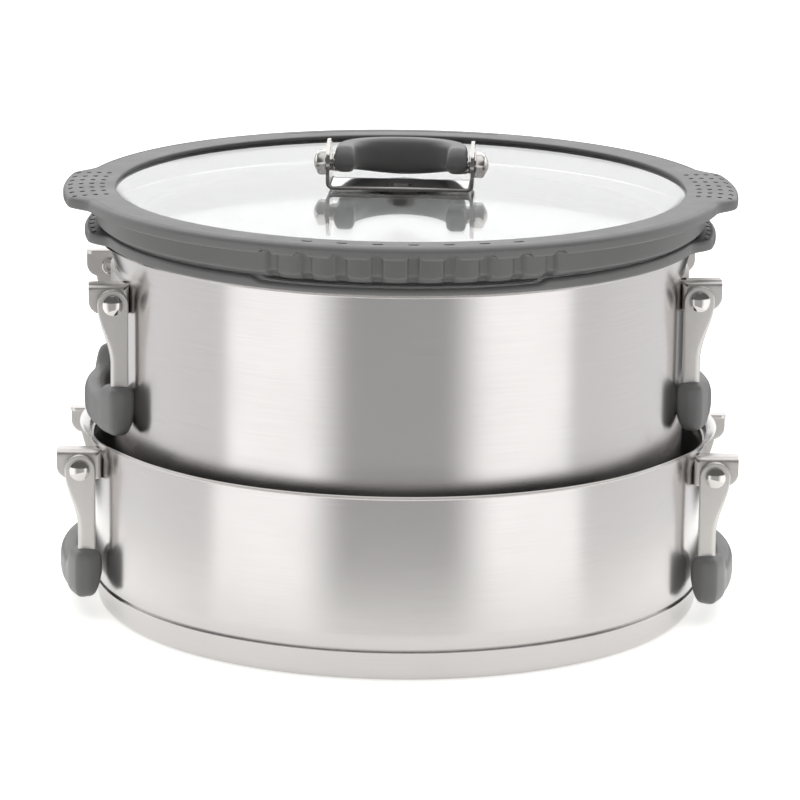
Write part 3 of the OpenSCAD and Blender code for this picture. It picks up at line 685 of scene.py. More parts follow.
def tempered_glass(colours):
    """Float glass, tempered: clear and flat, with wiping marks that only soften the reflections."""
    wipe_width = 40 * MM
    material = new_material("soda_lime_glass_tempered")
    tree = material.node_tree
    spot = add(tree, "ShaderNodeTexCoord")
    wipes = add(
        tree, "ShaderNodeTexNoise",
        {"Scale": 1 / wipe_width, "Detail": 5.0, "Roughness": 0.6, "Distortion": 1.2},
        {"Vector": spot.outputs["Object"]},
    )
    gloss = add(
        tree, "ShaderNodeMapRange", {"From Min": 0.35, "From Max": 0.75, "To Min": 0.0, "To Max": 0.05},
        {"Value": wipes.outputs["Fac"]},
    )
    return shown(
        material, {"Base Color": colours.glass, "IOR": 1.52, "Transmission Weight": 1.0},
        {"Roughness": gloss.outputs["Result"]},
    )


def pressed_aluminium(colours):
    """Rolled aluminium, pressed into a disc: pale and half matt, with the grain of the rolls."""
    roll_apart, roll_long = 0.6 * MM, 20 * MM
    roll_shade = 0.85
    material = new_material("aluminium_rolled_pressed")
    tree = material.node_tree
    spot = add(tree, "ShaderNodeTexCoord")
    stretch = add(
        tree, "ShaderNodeMapping", {"Scale": (1 / roll_long, 1 / roll_apart, 1 / roll_apart)},
        {"Vector": spot.outputs["Object"]},
    )
    rolls = add(
        tree, "ShaderNodeTexNoise", {"Scale": 1.0, "Detail": 3.0}, {"Vector": stretch.outputs["Vector"]}
    )
    tone = add(
        tree, "ShaderNodeMixRGB",
        {"Color1": shaded(colours.aluminium, roll_shade), "Color2": colours.aluminium},
        {"Fac": rolls.outputs["Fac"]},
    )
    gloss = add(tree, "ShaderNodeMapRange", {"To Min": 0.35, "To Max": 0.5}, {"Value": rolls.outputs["Fac"]})
    return shown(material, {"Metallic": 1.0}, {
        "Base Color": tone.outputs["Color"],
        "Roughness": gloss.outputs["Result"],
    })


def grey_rubber(colours):
    """Moulded rubber seal: grey and dull, with a fine grain."""
    grain_width = 0.4 * MM
    low_shade, high_shade = 0.8, 1.3
    material = new_material("rubber_moulded_grey")
    tree = material.node_tree
    spot = add(tree, "ShaderNodeTexCoord")
    grain = add(
        tree, "ShaderNodeTexNoise", {"Scale": 1 / grain_width, "Detail": 2.0},
        {"Vector": spot.outputs["Object"]},
    )
    tone = add(
        tree, "ShaderNodeMixRGB",
        {"Color1": shaded(colours.rubber, low_shade), "Color2": shaded(colours.rubber, high_shade)},
        {"Fac": grain.outputs["Fac"]},
    )
    relief = add(
        tree, "ShaderNodeBump", {"Strength": 0.2, "Distance": 0.05 * MM}, {"Height": grain.outputs["Fac"]}
    )
    return shown(material, {"Roughness": 0.6, "IOR": 1.52}, {
        "Base Color": tone.outputs["Color"],
        "Normal": relief.outputs["Normal"],
    })


def pale_floor(colours):
    """Painted board: plain, pale and matt."""
    patch_width = 600 * MM
    patch_shade = 0.98
    material = new_material("board_painted_matt")
    tree = material.node_tree
    spot = add(tree, "ShaderNodeTexCoord")
    patch = add(tree, "ShaderNodeTexNoise", {"Scale": 1 / patch_width}, {"Vector": spot.outputs["Object"]})
    tone = add(
        tree, "ShaderNodeMixRGB", {"Color1": shaded(colours.floor, patch_shade), "Color2": colours.floor},
        {"Fac": patch.outputs["Fac"]},
    )
    glow = {"Emission Color": colours.floor, "Emission Strength": bpy.context.scene.potset_stage.glow}
    return shown(material, {"Roughness": 0.9, **glow}, {"Base Color": tone.outputs["Color"]})


FINISHES = {
    "satin_steel": satin_steel,
    "tumbled_steel": lambda colours: stamped_steel(colours.fitting_steel, "tumbled", smooth=0.06, rough=0.16),
    "blasted_steel": lambda colours: stamped_steel(colours.arm_steel, "blasted", smooth=0.44, rough=0.52),
    "barrelled_steel": lambda colours: stamped_steel(colours.arm_steel, "barrelled", smooth=0.36, rough=0.44),
    "rim_silicone": lambda colours: moulded_silicone(colours, "silicone"),
    "grip_silicone": lambda colours: moulded_silicone(colours, "grip_silicone"),
    "tempered_glass": tempered_glass,
    "pressed_aluminium": pressed_aluminium,
    "grey_rubber": grey_rubber,
    "pale_floor": pale_floor,
}
made_finishes = {}


def finish(context, name):
    """The material of that name, made when it is first asked for."""
    if name not in made_finishes:
        made_finishes[name] = FINISHES[name](context.scene.potset_colours)
    return made_finishes[name]


def spout_share(pot, size, angles):
    """How much of a spout there is at an angle round the pot: 1 at its middle, then (1 - u^2)^2 sideways."""
    from_spout = np.abs((angles + math.pi / 2) % math.pi - math.pi / 2)
    return np.clip(1 - (from_spout / math.asin(size.spout_half / pot.radius)) ** 2, 0, 1) ** 2


def bulge(pot, size, angles, z):
    """How far a pot's wall stands out from its plain radius: a lip turned out along a straight line, wider at
    the spouts, above two spouts that open along a straight line."""
    depth = pot.rim - z
    spout = spout_share(pot, size, angles)
    lip = size.lip_out + (size.spout_lip - size.lip_out) * spout
    opened = np.clip(1 - depth / size.lip_height, 0, 1)
    rise = np.clip(1 - depth / size.spout_height, 0, 1)
    return lip * opened + (size.spout_out - size.spout_lip) * spout * rise


def shell_skin(pot, size):
    """Drawn pot: its profile runs from the middle of the floor up the inside, over the rolled rim, down the
    outside and back under the floor, is turned about the axis, and bulges at the rim and the spouts, where
    the rim dips."""
    floor_step, neck_step, wall_step, rim_step = 9, 1, 6, 0.3
    below_spout = 1
    sheet, radius = size.sheet, pot.radius
    foot = radius - sheet
    under = pot.base + size.floor_up
    floor = under + sheet
    inner_bend, outer_bend = size.floor_bend, size.floor_bend + sheet
    foot_top = pot.base + size.cap_height + size.cap_seam
    neck = foot_top + size.neck
    formed = pot.rim - size.spout_height - below_spout
    brim = pot.rim - sheet / 2
    line = outline(
        run((0, floor), (foot - sheet - inner_bend, floor), floor_step),
        bend((foot - sheet - inner_bend, floor + inner_bend), inner_bend, -90, 0, 6),
        run((foot - sheet, foot_top), (radius - sheet, neck), neck_step),
        run((radius - sheet, neck), (radius - sheet, formed), wall_step),
        run((radius - sheet, formed), (radius - sheet, brim), rim_step),
        bend((radius - sheet / 2, brim), sheet / 2, 180, 0, 8),
        run((radius, brim), (radius, formed), rim_step),
        run((radius, formed), (radius, neck), wall_step),
        run((radius, neck), (foot, foot_top), neck_step),
        bend((foot - outer_bend, under + outer_bend), outer_bend, 0, -90, 6),
        run((foot - outer_bend, under), (0, under), floor_step),
    )
    angles = circle(POT_TURN, math.pi / 2)
    radii = line[:, 0] + bulge(pot, size, angles[:, None], line[None, :, 1])
    radii[:, line[:, 1] < formed] = line[line[:, 1] < formed, 0]
    near_rim = np.clip(1 - (pot.rim - line[:, 1]) / size.spout_height, 0, 1)
    heights = line[:, 1] - size.spout_dip * near_rim * spout_share(pot, size, angles[:, None])
    return turned(spin(radii, heights, angles), pot.turn), True, False


def cap_skin(pot, size):
    """Base cap: a turned dish with a round lower edge, a wall that widens upwards and a fine rolled top."""
    floor_step, wall_step, top_step, inner_step = 9, 2, 1, 3
    radius, base = pot.radius, pot.base
    low = radius - size.cap_taper
    top = base + size.cap_height
    corner, sheet = size.cap_corner, size.sheet
    roll = 0.2
    line = outline(
        run((0, base), (low - corner, base), floor_step),
        bend((low - corner, base + corner), corner, -90, 0, 8),
        run((low, base + corner), (radius - roll / 4, top - roll), wall_step),
        bend((radius - roll, top - roll), roll, 0, 90, 4),
        run((radius - roll, top), (radius - sheet + roll / 4, top), top_step),
        run((radius - sheet + roll / 4, top), (low - sheet, base + corner), inner_step),
        bend((low - corner, base + corner), corner - sheet, 0, -90, 6),
        run((low - corner, base + sheet), (0, base + sheet), floor_step),
    )
    return spin(line[:, 0], line[:, 1], circle(POT_TURN, math.pi / 2)), True, False


def cheek_face(pot, size):
    """Distance of a cheek's outer face from the middle of its handle."""
    return pot.span / 2 - size.arm / 2 - size.play - size.washer


def bracket_skins(pot, size, pot_size):
    """Bent bracket sheet at its middle surface. In plan a strip runs in along one cheek, turns round a small
    bend, follows the wall as the saddle and runs out along the other cheek; from the upper edge of each cheek
    a second grid bends over into a top plate."""
    half, top = size.sheet / 2, pot.bracket_top
    cheek = cheek_face(pot, size) - half
    wall = pot.radius + half
    knee, over, plate_corner = 2.2, 1.7, 2.0
    start = math.sqrt(wall ** 2 - cheek ** 2) + knee
    out = pot.pivot_x + size.beyond
    saddle = bend((0, 0), wall, 0, math.degrees(math.asin((cheek - knee) / wall)), 14)
    share = np.linspace(0, 1, 9)[1:-1, None]
    turn_out = (1 - share) ** 2 * saddle[-1] + 2 * share * (1 - share) * np.array([start - knee, cheek])
    turn_out = turn_out + share ** 2 * np.array([start, cheek])
    quarter = np.linspace(0, math.pi / 2, 9)
    straight = np.linspace(start, out - size.cheek_corner, 6)
    x_cheek = np.r_[straight[:-1], out - size.cheek_corner + size.cheek_corner * np.sin(quarter)]
    plan = np.concatenate([saddle, turn_out, np.stack([x_cheek, np.full(len(x_cheek), cheek)], axis=1)])
    round_off = np.clip(x_cheek - out + size.cheek_corner, 0, None)
    lift = size.cheek_corner - np.sqrt(np.clip(size.cheek_corner ** 2 - round_off ** 2, 0, None))
    bend_start = half + over
    low = top - size.cheek + np.r_[np.zeros(len(saddle) + len(share)), lift]
    high = top - np.r_[np.zeros(len(saddle)), bend_start * share[:, 0], np.full(len(x_cheek), bend_start)]
    rows = np.linspace(0, 1, 8)
    z = low[:, None] + (high - low)[:, None] * rows
    one_half = np.concatenate([np.repeat(plan[:, None, :], len(rows), axis=1), z[:, :, None]], axis=2)
    upright = np.concatenate([one_half[:0:-1] * (1, -1, 1), one_half])
    arc = np.linspace(0, math.pi / 2, 7)
    flat = np.linspace(cheek - over, cheek + half - size.top_width, 8)[1:]
    y_plate = np.r_[cheek - over * (1 - np.cos(arc)), flat]
    z_plate = np.r_[top - bend_start + over * np.sin(arc), np.full(len(flat), top - half)]
    at_wall = pot.radius + bulge(pot, pot_size, np.arcsin(y_plate / pot.radius), z_plate)
    x_wall = np.sqrt(at_wall ** 2 - y_plate ** 2) - half / 2
    joined = ease(0, 1, np.r_[arc / arc[-1], np.ones(len(flat))])
    x_in = start + (x_wall - start) * joined
    from_edge = np.abs(y_plate - y_plate[-1])
    in_corner = plate_corner - np.minimum(from_edge, plate_corner)
    inset = plate_corner - np.sqrt(plate_corner ** 2 - in_corner ** 2)
    across = (x_cheek - start) / (out - start)
    x = x_in[:, None] + (out - inset - x_in)[:, None] * across
    top_plate = np.stack(np.broadcast_arrays(x, y_plate[:, None], z_plate[:, None]), axis=2)
    return [upright, *at_both_ends(top_plate)]


def rivet_line(pot, size):
    """Profile of a rivet as (radius, distance from the handle's middle): bore, hollow tail, shank and a domed
    head on a short rim."""
    inside = cheek_face(pot, size) - size.sheet
    outside = pot.span / 2 + size.arm / 2 + size.play
    tail, bore, shank = size.tail / 2, size.tail_bore / 2, size.shank / 2
    end = inside - size.tail_height
    roll, rim = 0.5, 1.0
    head = dome(size.head / 2, size.head_height - rim, 8) + (0, outside + rim)
    return outline(
        [(0, inside + size.sheet / 2), (bore, inside + size.sheet / 2), (bore, end + roll)],
        bend((bore + roll, end + roll), roll, 180, 270, 4),
        bend((tail - roll, end + roll), roll, 270, 360, 4),
        [(tail, inside), (shank, inside), (shank, outside), (size.head / 2, outside)],
        head,
    )


def washer_line(inner, outer, low, high, roll=0.2):
    """Profile of a flat washer as (radius, distance), closed, with small rounded edges."""
    return outline(
        [(inner, low + roll)],
        [(inner + roll, low)],
        bend((outer - roll, low + roll), roll, -90, 0, 3),
        bend((outer - roll, high - roll), roll, 0, 90, 3),
        [(inner + roll, high)],
        [(inner, high - roll)],
    )


def at_both_ends(grid):
    """The grid and its mirror image in Y."""
    return [grid, grid * (1, -1, 1)]


def arm_skin(pot, size):
    """Arm of a bail: round at the pivot, its inner edge straight, its outer edge drawn in by a smooth step;
    the outer edge has a broad rolled bevel that grows towards the foot."""
    in_grip = 6
    edge_roll, inner_growth, outer_growth, rear_roll = 0.7, 0.4, 1.8, 0.4
    x, z = pot.pivot_x, pot.pivot_z
    inner = x - size.arm_top
    foot = pot.grip_high - in_grip
    up = np.linspace(foot, z, 22)[:-1]
    narrow = ease(0, size.arm_taper, z - up)
    outer = inner + 2 * size.arm_top - (2 * size.arm_top - size.arm_foot) * narrow
    round_top = bend((x, z), size.arm_top, 180, 0, 32)
    edge = np.concatenate([
        np.stack([np.full(len(up), inner), up], axis=1), round_top, np.stack([outer, up], axis=1)[::-1],
    ])
    middle = np.stack([(inner + outer) / 2, up], axis=1)
    spine = np.concatenate([middle, np.tile((x, z), (len(round_top), 1)), middle[::-1]])
    lowness = np.r_[narrow, np.zeros(len(round_top)), narrow[::-1]]
    outer_side = edge[:, 0] > spine[:, 0]
    front_roll = edge_roll + np.where(outer_side, outer_growth, inner_growth) * lowness
    back_roll = np.full(len(edge), rear_roll)
    return plate(edge, spine, size.arm, front_roll, back_roll) + (0, pot.span / 2, 0)


def grip_skin(pot, size):
    """Side grip: a rounded band along an arc in plan. It thickens and rises into sleeves round the feet of
    the arms, its ends are rounded, and the lower part of its wall side is drawn in."""
    end_round, end_height, end_least = 3.2, 0.6, 0.02
    sleeve_from, sleeve_to = 10, 22
    sleeve_power, grip_power = 4.5, 3.0
    arc = (pot.span ** 2 / 4 + size.bow ** 2) / (2 * size.bow)
    arc_x = pot.pivot_x - size.arm_top + size.arm_foot / 2 + size.bow - arc
    half_length = arc * math.asin(pot.span / 2 / arc) + size.over
    tip = half_length - end_round + end_round * np.sin(np.linspace(0, math.pi / 2, 8))[1:]
    body = np.linspace(-half_length + end_round, half_length - end_round, 61)
    along = np.concatenate([-tip[::-1], body, tip])
    path = np.stack([arc_x + arc * np.cos(along / arc), arc * np.sin(along / arc)], axis=1)
    from_end = half_length - np.abs(along)
    close = np.sqrt(np.clip(1 - np.clip(1 - from_end / end_round, 0, 1) ** 2, end_least, 1))
    thick = size.grip + (size.sleeve - size.grip) * (1 - ease(sleeve_from, sleeve_to, from_end))
    middle, tall = (pot.grip_low + pot.grip_high) / 2, (pot.grip_high - pot.grip_low) / 2
    swell = end_height + (1 - end_height) * close
    fallen = ease(size.over + size.sleeve_in, size.over + size.sleeve_in + size.dip_slope, from_end)
    top = middle + tall * swell - size.dip * fallen
    slant = size.slant * (1 + fallen) / 2
    power = sleeve_power + (grip_power - sleeve_power) * fallen
    return band(path, thick / 2 * close, middle - tall * swell, top, power, slant, 56)


def pane_skin(lid, bore):
    """Pane: a turned disc with ground edges, and a hole in its middle where the handle's screw goes."""
    ground, step = 0.6, 10
    low, high, radius = lid.pane_low, lid.pane_high, lid.pane_radius
    line = outline(
        run((bore, low), (radius - ground, low), step),
        bend((radius - ground, low + ground), ground, -90, 0, 4),
        bend((radius - ground, high - ground), ground, 0, 90, 4),
        run((radius - ground, high), (bore, high), step),
    )
    return spin(line[:, 0], line[:, 1], circle(PANE_TURN)), True, bore > 0


def nearest(value, step, aside):
    """The nearest of evenly spaced places, of which so many lie on each side of the middle one."""
    return np.clip(np.round(value / step), -aside, aside) * step


def rim_angles(size, flange):
    """Angles of a rim's columns: evenly all round, close together over the drain and the ears, and lined up
    with the ear holes."""
    plain_step, drain_step, ear_step = 2.0, 0.2, 1.0
    drain_half, ear_half = 36, 24
    every = np.arange(0, 360, plain_step)
    drain = -90 + np.arange(-drain_half, drain_half, drain_step)
    ear = np.arange(-ear_half, ear_half + ear_step / 2, ear_step)
    columns = np.degrees(np.arange(-HOLES_ASIDE, HOLES_ASIDE + 1) * size.hole_step / flange)
    beside = np.degrees(ACROSS_HOLE * size.hole / 2 / flange)
    holes = (columns[:, None] + beside).ravel()
    found = np.concatenate([every, drain, ear, ear + 180, holes, holes + 180]) % 360
    return np.radians(np.unique(found.round(2)))


def rim_plan(lid, size):
    """What the stretches of a rim's profile share: its radii, the angles of its columns with their distances
    from the ears, the front, the back and the nearest notch, its outer edge with the ears, and the drop of
    the pouring lip, which only the low lid has."""
    lip_slope, fillet = 3, 0.8
    flange = lid.pot_radius + size.flange_out
    plug = lid.pot_radius - size.plug_in
    pitch = size.pitch / plug
    angles = rim_angles(size, flange)
    column = angles[:, None]
    from_ear = (column + math.pi / 2) % math.pi - math.pi / 2
    from_front = (column + math.pi / 2 + math.pi) % (2 * math.pi) - math.pi
    from_back = (column - math.pi / 2 + math.pi) % (2 * math.pi) - math.pi
    along_ear, along_back = np.abs(from_ear) * flange, np.abs(from_back) * flange
    on_ear = 1 - ease(size.ear_half - size.ear_fillet, size.ear_half + size.ear_fillet, along_ear)
    lipped = lid.name == "low"
    on_lip = 1 - ease(size.lip_half - lip_slope, size.lip_half, along_back)
    return SimpleNamespace(
        flange=flange, sight=flange - size.flange_width, plug=plug, pitch=pitch, fillet=fillet, angles=angles,
        from_ear=from_ear, from_front=from_front, along_back=along_back,
        from_notch=np.abs(from_front - nearest(from_front, pitch, NOTCHES_ASIDE)),
        outer=flange + size.ear_out * on_ear, lipped=lipped, lip_drop=size.lip_drop * lipped * on_lip,
    )


def rim_crown(plan, size, radii):
    """How far the arched top of a rim lies below its crown: it grows with the square of the distance from
    the middle of the flange."""
    at_edge = 0.25
    return at_edge * ((radii - (plan.sight + plan.flange) / 2) / (size.flange_width / 2)) ** 2


def rim_top_radii(plan, size, rows, slot_row):
    """Radii of a rim's upper side: from the pane to the bead in even steps and lined up with holes, slots and
    vent, then as shares of the way to the outer edge, lined up with the two rows of holes in an ear."""
    step, first, least = 1.1, 0.6, 0.4
    ear_rows = 2
    across_vent = np.array([-0.8, -0.5, -0.2, 0.2, 0.5, 0.8])
    bead_start = plan.flange - size.bead
    on_rows = rows[:, None] + ACROSS_HOLE * size.hole / 2
    inner = np.concatenate([
        np.arange(plan.sight + first, bead_start, step), on_rows[ear_rows:].ravel(),
        slot_row + ACROSS_HOLE * size.slot_width / 2, plan.flange - size.vent_in + across_vent,
    ])
    inner = np.unique(inner.round(2))
    inner = inner[(inner > plan.sight + least) & (inner < bead_start)]
    full = plan.flange + size.ear_out - size.edge - bead_start
    shares = np.concatenate([np.linspace(0, 1, 8), (on_rows[:ear_rows].ravel() - bead_start) / full])
    shares = np.unique(shares[(shares >= 0) & (shares <= 1)].round(3))
    return np.concatenate([
        np.broadcast_to(inner, (len(plan.angles), len(inner))),
        bead_start + shares * (plan.outer - size.edge - bead_start),
    ], axis=1)


def rim_top(plan, size):
    """Upper side of a rim: arched, with a fine line at the bead, and lowered at the ear holes, the slots, the
    vent and the pouring lip."""
    bead_depth, bead_half = 0.22, 0.55
    hole_depth, hole_floor, hole_wall = 2.8, 0.36, 0.54
    vent_depth, vent_floor, vent_wall, vent_slope = 0.9, 0.25, 0.55, 1
    slot_in, step_half, hole_rows = 0.8, 0.4, 4
    rows = plan.flange + size.ear_out - size.hole_edge - size.hole_pitch * np.arange(hole_rows)
    slot_row = plan.plug - slot_in
    radii = rim_top_radii(plan, size, rows, slot_row)
    bead_line = bead_depth * (1 - ease(0, bead_half, np.abs(radii - (plan.outer - size.bead))))
    from_hole = plan.from_ear - nearest(plan.from_ear, size.hole_step / plan.flange, HOLES_ASIDE)
    hole_gap = np.hypot(from_hole * radii, np.abs(radii[:, :, None] - rows).min(axis=2))
    hole = hole_depth * (1 - ease(hole_floor * size.hole, hole_wall * size.hole, hole_gap))
    from_slot = np.abs(plan.from_front - nearest(plan.from_front, plan.pitch, HOLES_ASIDE))
    past_slot = np.clip(from_slot * radii - (size.slot_length - size.slot_width) / 2, 0, None)
    slot_gap = np.hypot(past_slot, radii - slot_row)
    slot = hole_depth * (1 - ease(hole_floor * size.slot_width, hole_wall * size.slot_width, slot_gap))
    vent_along = 1 - ease(size.vent_half, size.vent_half + vent_slope, plan.along_back)
    vent_across = 1 - ease(vent_floor, vent_wall, np.abs(radii - plan.flange + size.vent_in))
    vent = (not plan.lipped) * vent_depth * vent_along * vent_across
    lip_start = plan.flange - size.lip_width
    lowered = plan.lip_drop * ease(lip_start - step_half, lip_start + step_half, radii)
    arched = size.flange - rim_crown(plan, size, radii)
    return radii, arched - bead_line - np.maximum(hole, slot) - vent - lowered


def rim_brim(plan, size):
    """Outer edge and underside of a rim, raised at the drain notches."""
    under_roll, most_crown, notch_slope = 1.2, 0.4, 0.8
    upper_edge = bend((-size.edge, -size.edge), size.edge, 80, 0, 6)
    lower_edge = bend((-under_roll, under_roll), under_roll, 0, -90, 5)
    edge_top = size.flange - plan.lip_drop - np.minimum(rim_crown(plan, size, plan.outer), most_crown)
    inward = np.linspace(0, 1, 7)[1:]
    under_from, under_to = plan.outer - under_roll, plan.plug + plan.fillet
    under = under_from + (under_to - under_from) * inward
    radii = np.concatenate([plan.outer + upper_edge[:, 0], plan.outer + lower_edge[:, 0], under], axis=1)
    heights = np.concatenate([
        edge_top + upper_edge[:, 1], 0 * plan.outer + lower_edge[:, 1], 0 * under,
    ], axis=1)
    half = size.notch / 2
    in_notch = 1 - ease(half - notch_slope, half + notch_slope, plan.from_notch * plan.outer)
    return radii, np.maximum(heights, size.notch_height * in_notch)


def rim_plug(plan, size):
    """Plug of a rim, from the underside of the flange to its foot. At the drain, grooves cut it back, soft
    pads stand out between them, and its lower part rises in a scallop at each groove."""
    wall_step, slope_step = 1.2, 1
    knee, knee_turn, knee_drop = 1, -40, 1.2
    toe, toe_up = 0.4, 0.3
    drain_full, drain_end = 4.1, 4.5
    groove_in, groove_out, skirt_slope = 0.6, 0.4, 1
    scallop_height, scallop_half, foot_band = 1.1, 0.4, 0.2
    plug, fillet, pitch = plan.plug, plan.fillet, plan.pitch
    foot, heel = -size.plug, plug - size.skirt
    slope_top, slope_end = foot + size.chamfer, plug - size.chamfer
    line = outline(
        bend((plug + fillet, -fillet), fillet, 90, 180, 4),
        run((plug, -fillet), (plug, slope_top), wall_step),
        bend((plug - knee, slope_top), knee, 0, knee_turn, 3),
        run((plug - knee, slope_top - knee_drop), (slope_end, foot + toe_up), slope_step),
        [(slope_end - toe, foot), (heel + toe, foot), (heel, foot + toe)],
    )
    drain = 1 - ease(drain_full * pitch, drain_end * pitch, np.abs(plan.from_front))
    outward = ease(heel, heel + skirt_slope, line[:, 0])
    half = size.groove / 2
    in_groove = 1 - ease(half - groove_in, half + groove_out, plan.from_notch * plug)
    pad = size.pad * drain * ease(0, pitch / 2, plan.from_notch)
    at_notch = 1 - ease(0, scallop_half * pitch, plan.from_notch)
    scallop = scallop_height * drain * at_notch * ease(-fillet, slope_top, line[:, 1])
    radii = line[:, 0] + (pad - size.groove_depth * in_groove) * outward
    return radii, line[:, 1] + scallop * (line[:, 1] > foot + foot_band)


def rim_inside(lid, plan, size):
    """Inside of a rim: up to the pane's seat, round the pane's edge and back to the upper side."""
    side_gap, face_gap = 0.1, 0.05
    heel_up, lip_edge = 0.8, 0.3
    edge_in, edge_low, edge_high = 0.1, 0.75, 0.45
    sight, heel = plan.sight, plan.plug - size.skirt
    seat = lid.pane_radius + side_gap
    seat_low, seat_high = lid.pane_low - lid.flange_low - face_gap, lid.pane_high - lid.flange_low + face_gap
    lip_low = lid.pane_low - lid.flange_low - size.lip
    line = outline(
        [(heel, heel_up - size.plug), (heel, lip_low)],
        [(sight + lip_edge, lip_low), (sight, lip_low + lip_edge)],
        [(sight, seat_low), (seat, seat_low), (seat, seat_high), (sight, seat_high)],
        [(sight, size.flange - edge_low), (sight + edge_in, size.flange - edge_high)],
    )
    radii = np.broadcast_to(line[:, 0], (len(plan.angles), len(line)))
    return radii, np.broadcast_to(line[:, 1], radii.shape)


def rim_skin(lid, size):
    """Strainer rim: a profile of upper side, outer edge, plug and pane seat turned about the axis. Its ears,
    holes, slots, lip and drain change the profile from column to column."""
    plan = rim_plan(lid, size)
    stretches = (rim_top(plan, size), rim_brim(plan, size), rim_plug(plan, size), rim_inside(lid, plan, size))
    radii = np.concatenate([stretch[0] for stretch in stretches], axis=1)
    heights = np.concatenate([stretch[1] for stretch in stretches], axis=1) + lid.flange_low
    return turned(spin(radii, heights, plan.angles), lid.turn), True, True


def lid_bracket_skin(size, bottom, top):
    """U-shaped bracket at its middle surface: a strip that runs down one upright, along the plate and up the
    other; its width shrinks as a half circle at the upright's top."""
    plate_step, last_turn = 4, 86
    half, mid_x = size.sheet / 2, size.half_length - size.sheet / 2
    mid_z = bottom + half
    round_z = top - size.half_width
    quarter = np.radians(np.linspace(0, last_turn, 14))
    right = outline(
        run((0, mid_z), (mid_x - size.bend, mid_z), plate_step),
        bend((mid_x - size.bend, mid_z + size.bend), size.bend, -90, 0, 7),
        np.stack([np.full(len(quarter), mid_x), round_z + size.half_width * np.sin(quarter)], axis=1),
    )
    line = np.concatenate([right[:0:-1] * (-1, 1), right])
    over = np.clip(line[:, 1] - round_z, 0, None)
    wide = np.sqrt(size.half_width ** 2 - over ** 2)
    across = np.linspace(-1, 1, 13)
    x, z = np.repeat(line[:, :1], len(across), axis=1), np.repeat(line[:, 1:], len(across), axis=1)
    return np.stack([x, wide[:, None] * across, z], axis=2), False, False


def lid_grip_skin(size, pivot):
    """Lid grip, folded back: a rounded band that closes round one pivot, runs back, bends through a half ring
    and returns. Its ends are round about the pivots, it swells smoothly towards its middle, and it keeps
    clear of the bracket's plate."""
    end_least, power = 0.003, 3.6
    plate_back, plate_room = 14, 8.2
    straight = np.r_[-size.boss * np.cos(np.linspace(0, math.pi / 2, 13)), np.linspace(0, size.arm, 6)[1:]]
    ring = np.linspace(math.pi, 0, 57)[1:-1]
    path = np.concatenate([
        np.stack([np.full(len(straight), -size.ring), straight], axis=1),
        np.stack([size.ring * np.cos(ring), size.arm + size.ring * np.sin(ring)], axis=1),
        np.stack([np.full(len(straight), size.ring), straight[::-1]], axis=1),
    ])
    gone = np.r_[0, np.linalg.norm(np.diff(path, axis=0), axis=1).cumsum()]
    from_end = np.minimum(gone, gone[-1] - gone)
    swell = ease(size.boss, gone[-1] / 2, from_end)
    close = np.sqrt(np.clip(1 - np.clip(-path[:, 1] / size.boss, 0, 1) ** 2, end_least, 1))
    up = (size.end_up + (size.grip_up - size.end_up) * swell) * close
    deep = size.end_down + (size.grip_down - size.end_down) * swell
    down = np.minimum(deep, np.where(path[:, 1] < plate_back, plate_room, deep)) * close
    half = np.full(len(path), size.band / 2)
    return band(path, half, pivot - down, pivot + up, power, 0, 48), False, True


def lid_fixings(size):
    """Profiles of what holds the handle to the pane, as (radius, height). Each comes with its width over
    flats, if it is a nut, and with whether it is closed."""
    shank, bore, fit = 2.5, 2.6, 0.1
    tip, head_edge = 0.4, 0.65
    nut_roll, flat_edge = 0.5, 0.2
    gasket_roll, washer_roll = 0.15, 0.3
    low, high = node_box("lid_screw")
    gasket_low, gasket_high = node_box("lid_gasket")
    washer_low, washer_high = node_box("lid_under_washer")
    nut_low, nut_high = node_box("lid_under_nut")
    plate_top = gasket_high[2] + size.sheet
    head = high[0]
    screw = outline(
        [(0, low[2]), (shank - tip, low[2]), (shank, low[2] + tip), (shank, plate_top), (head, plate_top)],
        dome(head, high[2] - plate_top - head_edge, 6) + (0, plate_top + head_edge),
    )
    gasket = washer_line(shank + fit, gasket_high[0], gasket_low[2], gasket_high[2], gasket_roll)
    washer = washer_line(bore, washer_high[0], washer_low[2], washer_high[2], washer_roll)
    nut = outline(
        [(bore, nut_low[2]), (nut_high[1] + flat_edge, nut_low[2]), (nut_high[0], nut_low[2] + nut_roll)],
        [(nut_high[0], nut_high[2]), (bore, nut_high[2])],
    )
    return {
        "lid_screw": (screw, None, False),
        "lid_gasket": (gasket, None, True),
        "lid_under_washer": (washer, None, True),
        "lid_under_nut": (nut, 2 * nut_high[1], True),
    }


